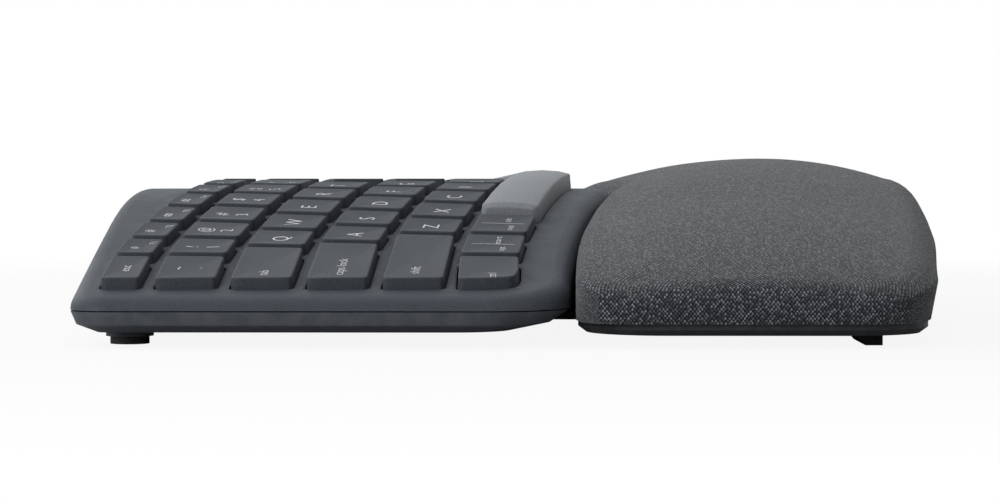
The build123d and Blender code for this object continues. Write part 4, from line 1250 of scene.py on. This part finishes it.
@dataclass
class KeyFrame:
    """The domed frame: its moulding, the soft lip round every well and the light's lens."""

    swatches: Swatches
    clearance: float = 0.35 * MM
    lip_radius: float = 0.24 * MM
    lip_proud: float = 0.02 * MM
    lip_into_well: float = 0.03 * MM
    lip_sides: int = 10
    lip_crease: float = 80.0
    side_step: float = 3.0 * MM

    def lip_tree(self) -> bpy.types.NodeTree:
        """Tree that sweeps a round bead along closed outlines."""
        maker = NodeTreeMaker("well_lip", {"Bead Radius": self.lip_radius})
        path = maker.node("GeometryNodeMeshToCurve", {0: maker.inputs[0]})
        bead = maker.node("GeometryNodeCurvePrimitiveCircle", {
            "Resolution": self.lip_sides, "Radius": maker.inputs["Bead Radius"]}, mode="RADIUS")
        swept = maker.node("GeometryNodeCurveToMesh", {"Curve": path.outputs[0],
                                                       "Profile Curve": bead.outputs[0]})
        return maker.finish(swept.outputs[0], self.swatches["frame"])

    def lips(self, places: list[KeyPlace]) -> None:
        """Rounds the upper edge and the corners of every well.

        Args:
            places: Every key but the space bars.
        """
        points: list[Vector] = []
        edges: list[tuple[int, int]] = []
        inset = self.lip_radius - self.lip_into_well - self.clearance
        for place in places:
            start = len(points)
            ring = place.outline(inset, self.side_step)
            points += [place.world(p.x, p.y, self.lip_proud - self.lip_radius) for p in ring]
            edges += [(start + i, start + (i + 1) % len(ring)) for i in range(len(ring))]
        mesh = bpy.data.meshes.new("well_outlines")
        mesh.from_pydata([tuple(p) for p in points], edges, [])
        lips = grown("well_lips", mesh, self.lip_tree(), {"Bead Radius": self.lip_radius}, self.lip_crease)
        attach(lips, ROOT)
        LOG.info("well lips: %d wells, %d faces", len(places), len(lips.data.polygons))

    def build(self, places: list[KeyPlace]) -> None:
        """Dresses the frame."""
        dress("top_case", self.swatches["frame"])
        dress("status_light_lens", self.swatches["lens"])
        self.lips(places)


def dress(node: str, material: bpy.types.Material) -> None:
    """Gives a CAD node its finish."""
    for slot in frame["nodes"][node].material_slots:
        slot.material = material
    LOG.info("dressed %s", node)


# Palm rest

@dataclass
class PalmRest:
    """Padded rest: a knitted cover drawn over foam, on a chamfered base."""

    swatches: Swatches
    half_width: float = 228.0 * MM
    frame_front_y: float = -10.8 * MM
    seam_gap: float = 1.0 * MM
    depth: float = 91.3 * MM
    rise: float = 9.1 * MM
    corner_radius: float = 20.5 * MM
    end_slope_fall: float = 6.0 * MM
    end_slope_reach: float = 58.0 * MM
    end_roll: float = 6.5 * MM
    seat_height: float = 6.5 * MM
    edge_half_run: float = 156.0 * MM
    edge_bend_radius: float = 690.0 * MM
    edge_crest_radius: float = 100.0 * MM
    row_turn: float = math.radians(9.1)
    rear_roll: float = 8.0 * MM
    front_roll: float = 11.0 * MM
    crown_place: float = 38.0 * MM
    rear_shoulder_share: float = 0.72
    rear_roll_share: float = 0.868
    front_roll_share: float = 0.868
    front_knee_share: float = 0.61
    shoulder_round: float = 0.16
    full_round_top: float = 16.0 * MM
    tuck: float = 0.9 * MM
    station_step: float = 4.0 * MM
    corner_stations: int = 11
    wall_steps: int = 5
    rear_steps: int = 5
    top_steps: int = 26
    front_steps: int = 7
    measured_station: int = 40
    end_rings: int = 7
    wall_normal: float = 0.75
    crease: float = 70.0
    start_inset: float = 0.5 * MM
    front_swell: float = -0.25 * MM
    bend_swell: float = 5.2 * MM
    bend_place: float = 84.0 * MM
    bend_reach: float = 56.0 * MM
    rear_corner: float = 15.0 * MM
    pressure: float = 3.0
    cloth_mass: float = 0.3
    stretch_stiffness: float = 60.0
    bend_stiffness: float = 3.0
    cloth_quality: int = 4
    seam_height: float = 1.2 * MM
    frames: int = 14
    greatest_swell: float = 1.1 * MM
    seam_fade: float = 4.0 * MM
    end_fade: float = 6.0 * MM

    def sweep_back(self, x: float) -> float:
        """Shift of the front and rear edges towards the typist."""
        crest_run = self.edge_crest_radius * math.sin(self.row_turn)
        bend_run = self.edge_half_run - self.edge_bend_radius * math.sin(self.row_turn)
        run = abs(x - DOME.crest_x)
        if run >= self.edge_half_run:
            return 0.0
        if run >= bend_run:
            return self.edge_bend_radius - math.sqrt(
                self.edge_bend_radius**2 - (self.edge_half_run - run) ** 2)
        straight = self.edge_bend_radius * (1 - math.cos(self.row_turn))
        straight += (bend_run - max(run, crest_run)) * math.tan(self.row_turn)
        if run >= crest_run:
            return straight
        crest = math.sqrt(self.edge_crest_radius**2 - run**2)
        return straight + crest - self.edge_crest_radius * math.cos(self.row_turn)

    def profile(self, x: float) -> list[Vector]:
        """Section from the rear seam over the crown to the front seam.

        Args:
            x: Place along the rest.

        Returns:
            Points of the section.
        """
        distance = self.half_width - abs(x)
        pull = self.start_inset + corner_pull(distance, self.corner_radius)
        back = self.frame_front_y - self.seam_gap - self.sweep_back(x)
        bend = math.exp(-(((abs(x - DOME.crest_x) - self.bend_place) / self.bend_reach) ** 2))
        swell = self.front_swell + self.bend_swell * bend
        rear = back - self.start_inset - corner_pull(distance, self.rear_corner)
        front = back - self.depth + pull - swell
        slope = max(0.0, 1 - distance / self.end_slope_reach)
        fall = self.end_slope_fall * slope**2 + corner_pull(distance, self.end_roll)
        top = DOME.height(x) + self.rise - fall - self.seat_height - self.start_inset
        crown = rear + (front - rear) * self.crown_place / self.depth
        knots = [(rear, 0.0), (rear, self.rear_shoulder_share * top),
                 (rear - self.rear_roll, self.rear_roll_share * top), (crown, top),
                 (front + self.front_roll, self.front_roll_share * top), (front, self.front_knee_share * top),
                 (front + swell, 0.0)]
        roundness = self.shoulder_round * min(1.0, top / self.full_round_top) ** 2
        line = [Vector((rear - self.tuck, -self.tuck / 2))]
        line += straight_run(knots[0], knots[1], self.wall_steps)
        line += bulge(knots[1], knots[2], self.rear_steps, roundness)[:-1]
        line += three_point_arc(knots[2], knots[3], knots[4], self.top_steps)[:-1]
        line += bulge(knots[4], knots[5], self.front_steps, roundness)[:-1]
        line += straight_run(knots[5], knots[6], self.wall_steps)
        line += [Vector(knots[6]), Vector((front + swell + self.tuck, -self.tuck / 2))]
        return [Vector((x, point.x, self.seat_height + point.y)) for point in line]

    def stations(self) -> list[float]:
        """Places along the rest, closer together round its ends."""
        turns = [math.pi / 2 * step / self.corner_stations for step in range(self.corner_stations)]
        near = [self.half_width - self.corner_radius * (1 - math.cos(turn)) for turn in turns]
        straight = self.half_width - self.corner_radius
        count = math.ceil(2 * straight / self.station_step)
        middle = [-straight + 2 * straight * step / count for step in range(count + 1)]
        return [-x for x in near] + middle + near[::-1]

    def build(self) -> None:
        """Makes the padded cover."""
        draft = Draft()
        sections = [self.profile(x) for x in self.stations()]
        count = len(sections[0])
        measured = sections[self.measured_station]
        lengths = np.concatenate([[0.0], np.cumsum([(b - a).length for a, b in zip(measured, measured[1:])])])
        reach = 0.0
        for index, section in enumerate(sections):
            if index:
                reach += (section[count // 2] - sections[index - 1][count // 2]).length
            draft.points += section
            draft.places += [(reach, float(length)) for length in lengths]
        for index in range(len(sections) - 1):
            for step in range(count - 1):
                here = index * count + step
                draft.faces.append((here, here + 1, here + count + 1, here + count))
        self.close_end(draft, 0, count, True)
        self.close_end(draft, (len(sections) - 1) * count, count, False)
        pad = draft.piece("palm_rest_pad", self.swatches["knit"], self.crease)
        self.set_wall_map(pad)
        self.inflate(pad)
        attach(pad, ROOT)
        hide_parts("palm_rest_cover", "palm_rest_foam")
        LOG.info("palm rest pad: %d faces", len(pad.data.polygons))

    def close_end(self, draft: Draft, start: int, count: int, left: bool) -> None:
        """Fills an end wall with shrinking rows.

        Args:
            draft: The cover so far.
            start: Index of the end section's first point.
            count: Points in a section.
            left: Whether this is the left end.
        """
        ring = list(range(start, start + count))
        base = (draft.points[start] + draft.points[start + count - 1]) / 2
        outer = [draft.points[index] for index in ring]
        for step in range(1, self.end_rings + 1):
            share = 1 - step / self.end_rings
            if step == self.end_rings:
                new = [len(draft.points)] * count
                draft.points.append(base)
                draft.places.append((base.y, base.z))
            else:
                new = list(range(len(draft.points), len(draft.points) + count))
                draft.points += [Vector((p.x, base.y + (p.y - base.y) * share,
                                         base.z + (p.z - base.z) * share)) for p in outer]
                draft.places += [(p.y, p.z) for p in draft.points[-count:]]
            for index in range(count - 1):
                face = [ring[index], new[index], new[index + 1], ring[index + 1]]
                face = list(dict.fromkeys(face))
                draft.faces.append(tuple(face if left else reversed(face)))
            ring = new

    def set_wall_map(self, pad: bpy.types.Object) -> None:
        """Maps the cloth of the end walls by their own height and depth."""
        mesh = pad.data
        layer = mesh.uv_layers["cloth"].data
        for polygon in mesh.polygons:
            if abs(polygon.normal.x) > self.wall_normal:
                for loop in polygon.loop_indices:
                    place = mesh.vertices[mesh.loops[loop].vertex_index].co
                    layer[loop].uv = (place.y, place.z)

    def inflate(self, pad: bpy.types.Object) -> None:
        """Lets the foam push the cloth out a little, with its seam held.

        Args:
            pad: The cover, drawn slightly small.
        """
        mesh = pad.data
        held = pad.vertex_groups.new(name="seam")
        floor = self.seat_height + self.seam_height
        held.add([v.index for v in mesh.vertices if v.co.z < floor], 1.0, "REPLACE")
        before = [v.co.copy() for v in mesh.vertices]
        cloth = pad.modifiers.new("swell", "CLOTH")
        settings = cloth.settings
        settings.quality = self.cloth_quality
        settings.mass = self.cloth_mass
        settings.tension_stiffness = settings.compression_stiffness = self.stretch_stiffness
        settings.bending_stiffness = self.bend_stiffness
        settings.use_pressure = True
        settings.uniform_pressure_force = self.pressure
        settings.vertex_group_mass = "seam"
        settings.effector_weights.gravity = 0.0
        cloth.collision_settings.use_collision = False
        cloth.point_cache.frame_start, cloth.point_cache.frame_end = 1, self.frames
        for step in range(1, self.frames + 1):
            bpy.context.scene.frame_set(step)
        moved = baked(pad, "swollen")
        pad.modifiers.remove(cloth)
        bpy.context.scene.frame_set(1)
        for vertex, start, end in zip(mesh.vertices, before, [v.co.copy() for v in moved.vertices]):
            shift = end - start
            if shift.length > self.greatest_swell:
                shift = shift.normalized() * self.greatest_swell
            shift *= min(1.0, max(0.0, (start.z - floor) / self.seam_fade))
            inland = min(1.0, max(0.0, (self.half_width - abs(start.x)) / self.end_fade))
            vertex.co = start + Vector((shift.x, shift.y * inland, shift.z * inland))
        bpy.data.meshes.remove(moved)
        pad.vertex_groups.clear()
        mesh.update()


def corner_pull(distance: float, radius: float) -> float:
    """How far a rounded corner draws an edge in at a distance from its end."""
    if distance >= radius:
        return 0.0
    return radius - math.sqrt(radius**2 - (radius - distance) ** 2)


def straight_run(start: tuple[float, float], end: tuple[float, float], steps: int) -> list[Vector]:
    """Points from a start up to, and without, an end."""
    return [Vector(start).lerp(Vector(end), step / steps) for step in range(steps)]


def bulge(start: tuple[float, float], end: tuple[float, float], steps: int, share: float) -> list[Vector]:
    """Arc over the rest's edge, bulging up and outwards."""
    run, rise = end[0] - start[0], end[1] - start[1]
    middle = ((start[0] + end[0]) / 2 + rise * share, (start[1] + end[1]) / 2 - run * share)
    return three_point_arc(start, middle, end, steps)


def three_point_arc(start: tuple[float, float], middle: tuple[float, float], end: tuple[float, float],
                    steps: int) -> list[Vector]:
    """Points along the circle through three points."""
    (ax, ay), (bx, by), (cx, cy) = start, middle, end
    size = 2 * (ax * (by - cy) + bx * (cy - ay) + cx * (ay - by))
    a2, b2, c2 = ax * ax + ay * ay, bx * bx + by * by, cx * cx + cy * cy
    centre = Vector(((a2 * (by - cy) + b2 * (cy - ay) + c2 * (ay - by)) / size,
                     (a2 * (cx - bx) + b2 * (ax - cx) + c2 * (bx - ax)) / size))
    reach = Vector(start) - centre
    full = 2 * math.pi
    turn = math.atan2(cy - centre.y, cx - centre.x) - math.atan2(ay - centre.y, ax - centre.x)
    leftwards = (bx - ax) * (cy - ay) - (by - ay) * (cx - ax) > 0
    turn = turn % full if leftwards else turn % full - full
    return [centre + Matrix.Rotation(turn * step / steps, 2) @ reach for step in range(steps + 1)]


# Underside and inner pieces

@dataclass
class Screws:
    """Case screws with a cross recess, seen from below."""

    swatches: Swatches
    head_radius: float = 2.5 * MM
    head_height: float = 1.4 * MM
    shank_radius: float = 1.2 * MM
    recess_reach: float = 1.4 * MM
    recess_depth: float = 0.9 * MM
    recess_arm: float = 0.45
    recess_floor_share: float = 0.55
    recess_mouth_share: float = 0.7
    rim_width: float = 0.25 * MM
    rim_height: float = 0.3 * MM
    shank_length: float = 6.6 * MM
    tip_radius: float = 0.3 * MM
    length: float = 7.0 * MM
    sides: int = 24
    turn: float = 0.6
    seed: int = 7
    crease: float = 35.0

    def one_screw(self) -> bpy.types.Mesh:
        """Screw with its head's face at zero, pointing up."""
        levels = [(self.recess_reach * self.recess_floor_share, self.recess_depth),
                  (self.recess_reach * self.recess_mouth_share, 0.0),
                  (self.head_radius - self.rim_width, 0.0), (self.head_radius, self.rim_height),
                  (self.head_radius, self.head_height),
                  (self.shank_radius, self.head_height), (self.shank_radius, self.shank_length),
                  (self.tip_radius, self.length)]
        rings = []
        for radius, height in levels:
            ring = []
            for step in range(self.sides):
                turn = 2 * math.pi * step / self.sides
                plain = height or radius > self.recess_reach
                arm = radius * (1.0 if plain else 1.0 + self.recess_arm * math.cos(4 * turn))
                ring.append(Vector((arm * math.cos(turn), -arm * math.sin(turn), height)))
            rings.append(ring)
        points, faces = bridged(rings, True, Vector((0, 0, self.length)))
        mesh = bpy.data.meshes.new("one_screw")
        mesh.from_pydata([tuple(p) for p in points], [], faces)
        work = bmesh.new()
        work.from_mesh(mesh)
        bmesh.ops.recalc_face_normals(work, faces=work.faces)
        work.to_mesh(mesh)
        work.free()
        return mesh

    def build(self) -> None:
        """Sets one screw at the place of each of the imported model's screws."""
        places = []
        for points, _ in solids_of(frame["nodes"]["screws"].data):
            low, high = points.min(axis=0), points.max(axis=0)
            places.append(((low[0] + high[0]) / 2, (low[1] + high[1]) / 2, low[2]))
        seeds = bpy.data.meshes.new("screw_places")
        seeds.from_pydata(places, [], [])
        screw = bpy.data.objects.new("one_screw", self.one_screw())
        bpy.context.scene.collection.objects.link(screw)
        maker = NodeTreeMaker("screw_rows", {"Turn": self.turn})
        model = maker.node("GeometryNodeObjectInfo", {"Object": screw})
        turns = maker.node("FunctionNodeRandomValue", {"Max": maker.inputs["Turn"], "Seed": self.seed},
                           data_type="FLOAT")
        spin = maker.node("ShaderNodeCombineXYZ", {"Z": turns.outputs[1]})
        rows = maker.node("GeometryNodeInstanceOnPoints", {"Points": maker.inputs[0],
                                                           "Instance": model.outputs["Geometry"],
                                                           "Rotation": spin.outputs[0]})
        tree = maker.finish(rows.outputs[0], self.swatches["steel"])
        screws = grown("case_screws", seeds, tree, {"Turn": self.turn}, self.crease)
        bpy.data.objects.remove(screw)
        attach(screws, ROOT)
        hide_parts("screws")
        LOG.info("screws: %d", len(places))


@dataclass
class Underside:
    """Tray, palm rest base, feet, legs, battery door and switch, with softened edges."""

    swatches: Swatches
    edge: float = 0.35 * MM
    small_edge: float = 0.2 * MM

    def build(self) -> None:
        """Dresses the lower pieces."""
        dress("bottom_case", self.swatches["side"])
        dress("palm_rest_base", self.swatches["base"])
        soft = {"rubber_feet": ("rubber", self.edge), "battery_door": ("side", self.small_edge),
                "power_switch": ("knob", self.small_edge)}
        for kind in ("long", "short"):
            for side in ("left", "right"):
                soft[f"{kind}_leg_{side}"] = ("leg", self.small_edge)
        for node, (finish, width) in soft.items():
            softened(node, node + "_soft", self.swatches[finish], width)
            LOG.info("softened %s", node)


@dataclass
class Inside:
    """Pieces that only an opened keyboard shows."""

    swatches: Swatches
    finishes: dict[str, str] = field(default_factory=lambda: {
        "key_plate": "plate", "membrane_sheet": "film", "rubber_domes": "silicone", "scissor_levers": "lever",
        "circuit_board": "board", "battery_cells": "cell", "battery_contacts": "contact", "leg_pins": "steel",
        "palm_rest_support": "base",
    })

    def build(self) -> None:
        """Dresses the inner pieces."""
        for node, finish in self.finishes.items():
            dress(node, self.swatches[finish])


# Studio

@dataclass
class Studio:
    """Pale floor, soft light and the photograph's camera."""

    camera_place: tuple[float, float, float] = (-935.0 * MM, 0.0, 46.5 * MM)
    camera_yaw: float = 0.0093
    camera_pitch: float = 0.031
    lens: float = 102.8
    clip: tuple[float, float] = (0.01, 50.0)
    floor_colour: Colour = (0.6, 0.6, 0.6)
    floor_cloud: float = 0.99
    floor_roughness: float = 0.9
    floor_corners: tuple[tuple[float, float], ...] = ((-4, -4), (8, -4), (8, 4), (-4, 4))
    near_white: float = 0.9
    shadow_reach: tuple[float, float] = (0.27, 0.5)
    ambient: float = 0.24
    lamps: tuple[tuple[str, tuple[float, float, float], tuple[float, float], float], ...] = (
        ("overhead", (0.0, 0.1, 1.0), (1.0, 1.3), 5.5),
        ("far_side", (0.66, 1.0, 0.78), (0.8, 0.8), 8.6),
        ("near_side", (-0.85, 0.6, 0.3), (0.5, 0.4), 4.6),
    )

    def floor(self) -> None:
        """Wide pale floor that keeps the shadow."""
        material, tree, surface = blank("pale_floor")
        place = wired(tree, "ShaderNodeTexCoord").outputs["Object"]
        cloud = wired(tree, "ShaderNodeTexNoise", {"Vector": place, "Scale": 3.0})
        shade = toned(self.floor_colour, self.floor_cloud)
        tone = mixed(tree, cloud.outputs["Fac"], shade, self.floor_colour)
        tree.links.new(tone, surface.inputs["Base Color"])
        surface.inputs["Roughness"].default_value = self.floor_roughness
        surface.inputs["Specular IOR Level"].default_value = 0.0
        seen = wired(tree, "ShaderNodeEmission", {"Color": (1, 1, 1, 1), "Strength": 1.0})
        rays = wired(tree, "ShaderNodeLightPath")
        reach = wired(tree, "ShaderNodeVectorMath", {0: place}, operation="LENGTH")
        bounds = {"Value": reach.outputs["Value"], "From Min": self.shadow_reach[0],
                  "From Max": self.shadow_reach[1]}
        far = wired(tree, "ShaderNodeMapRange", {**bounds, "To Min": self.near_white})
        beyond = wired(tree, "ShaderNodeMapRange", bounds)
        direct = wired(tree, "ShaderNodeMath", {0: rays.outputs["Is Camera Ray"], 1: far.outputs["Result"]},
                       operation="MULTIPLY")
        mirrored = wired(tree, "ShaderNodeMath", {
            0: rays.outputs["Is Glossy Ray"], 1: rays.outputs["Is Transmission Ray"]}, operation="MAXIMUM")
        around = wired(tree, "ShaderNodeMath", {0: mirrored.outputs[0], 1: beyond.outputs["Result"]},
                       operation="MULTIPLY")
        share = wired(tree, "ShaderNodeMath", {0: direct.outputs[0], 1: around.outputs[0]},
                      operation="MAXIMUM")
        above = wired(tree, "ShaderNodeMixShader", {0: share.outputs[0], 1: surface.outputs[0],
                                                    2: seen.outputs[0]})
        clear = wired(tree, "ShaderNodeBsdfTransparent")
        under = wired(tree, "ShaderNodeNewGeometry").outputs["Backfacing"]
        mix = wired(tree, "ShaderNodeMixShader", {0: under, 1: above.outputs[0], 2: clear.outputs[0]})
        tree.links.new(mix.outputs[0], tree.nodes["Material Output"].inputs["Surface"])
        draft = Draft([Vector((x, y, 0.0)) for x, y in self.floor_corners], [(0, 1, 2, 3)])
        floor = draft.piece("floor", material)

    def world(self) -> None:
        """White surroundings to the eye, and a softer level for the light."""
        world = bpy.data.worlds.new("studio")
        bpy.context.scene.world = world
        world.use_nodes = True
        tree = world.node_tree
        rays = wired(tree, "ShaderNodeLightPath")
        through = wired(tree, "ShaderNodeMath", {0: rays.outputs["Is Camera Ray"],
                                                 1: rays.outputs["Is Transmission Ray"]}, operation="MAXIMUM")
        seen = wired(tree, "ShaderNodeMath", {0: through.outputs[0], 1: rays.outputs["Is Glossy Ray"]},
                     operation="MAXIMUM")
        low = wired(tree, "ShaderNodeBackground", {"Color": (1, 1, 1, 1), "Strength": self.ambient})
        white = wired(tree, "ShaderNodeBackground", {"Color": (1, 1, 1, 1), "Strength": 1.0})
        mix = wired(tree, "ShaderNodeMixShader", {0: seen.outputs[0], 1: low.outputs[0], 2: white.outputs[0]})
        tree.links.new(mix.outputs[0], tree.nodes["World Output"].inputs["Surface"])

    def light(self) -> None:
        """Large soft lamps, turned to the keyboard."""
        for name, place, size, power in self.lamps:
            lamp = bpy.data.lights.new(name, "AREA")
            lamp.shape, lamp.size, lamp.size_y, lamp.energy = "RECTANGLE", size[0], size[1], power
            holder = bpy.data.objects.new(name, lamp)
            holder.location = place
            holder.rotation_euler = (-Vector(place)).to_track_quat("-Z", "Y").to_euler()
            bpy.context.scene.collection.objects.link(holder)

    def camera(self) -> None:
        """Long lens low beside the left end, as the photograph was taken."""
        data = bpy.data.cameras.new("camera")
        data.lens = self.lens
        data.clip_start, data.clip_end = self.clip
        camera = bpy.data.objects.new("camera", data)
        camera.location = self.camera_place
        aim = Vector((math.cos(self.camera_pitch) * math.cos(self.camera_yaw),
                      math.cos(self.camera_pitch) * math.sin(self.camera_yaw), -math.sin(self.camera_pitch)))
        camera.rotation_euler = aim.to_track_quat("-Z", "Y").to_euler()
        bpy.context.scene.collection.objects.link(camera)
        bpy.context.scene.camera = camera

    def build(self) -> None:
        """Sets the stage."""
        bpy.context.scene.view_settings.view_transform = "Standard"
        self.floor()
        self.world()
        self.light()
        self.camera()


def main() -> None:
    """Builds and dresses the keyboard, piece by piece."""
    logging.basicConfig(level=logging.INFO, format="%(name)s: %(message)s")
    swatches = Swatches.of(Finishes())
    places = KeyCaps(swatches).build()
    SpaceBars(swatches).build()
    KeyFrame(swatches).build(places)
    PalmRest(swatches).build()
    Screws(swatches).build()
    Underside(swatches).build()
    Inside(swatches).build()
    Studio().build()


if __name__ == "__main__":
    main()
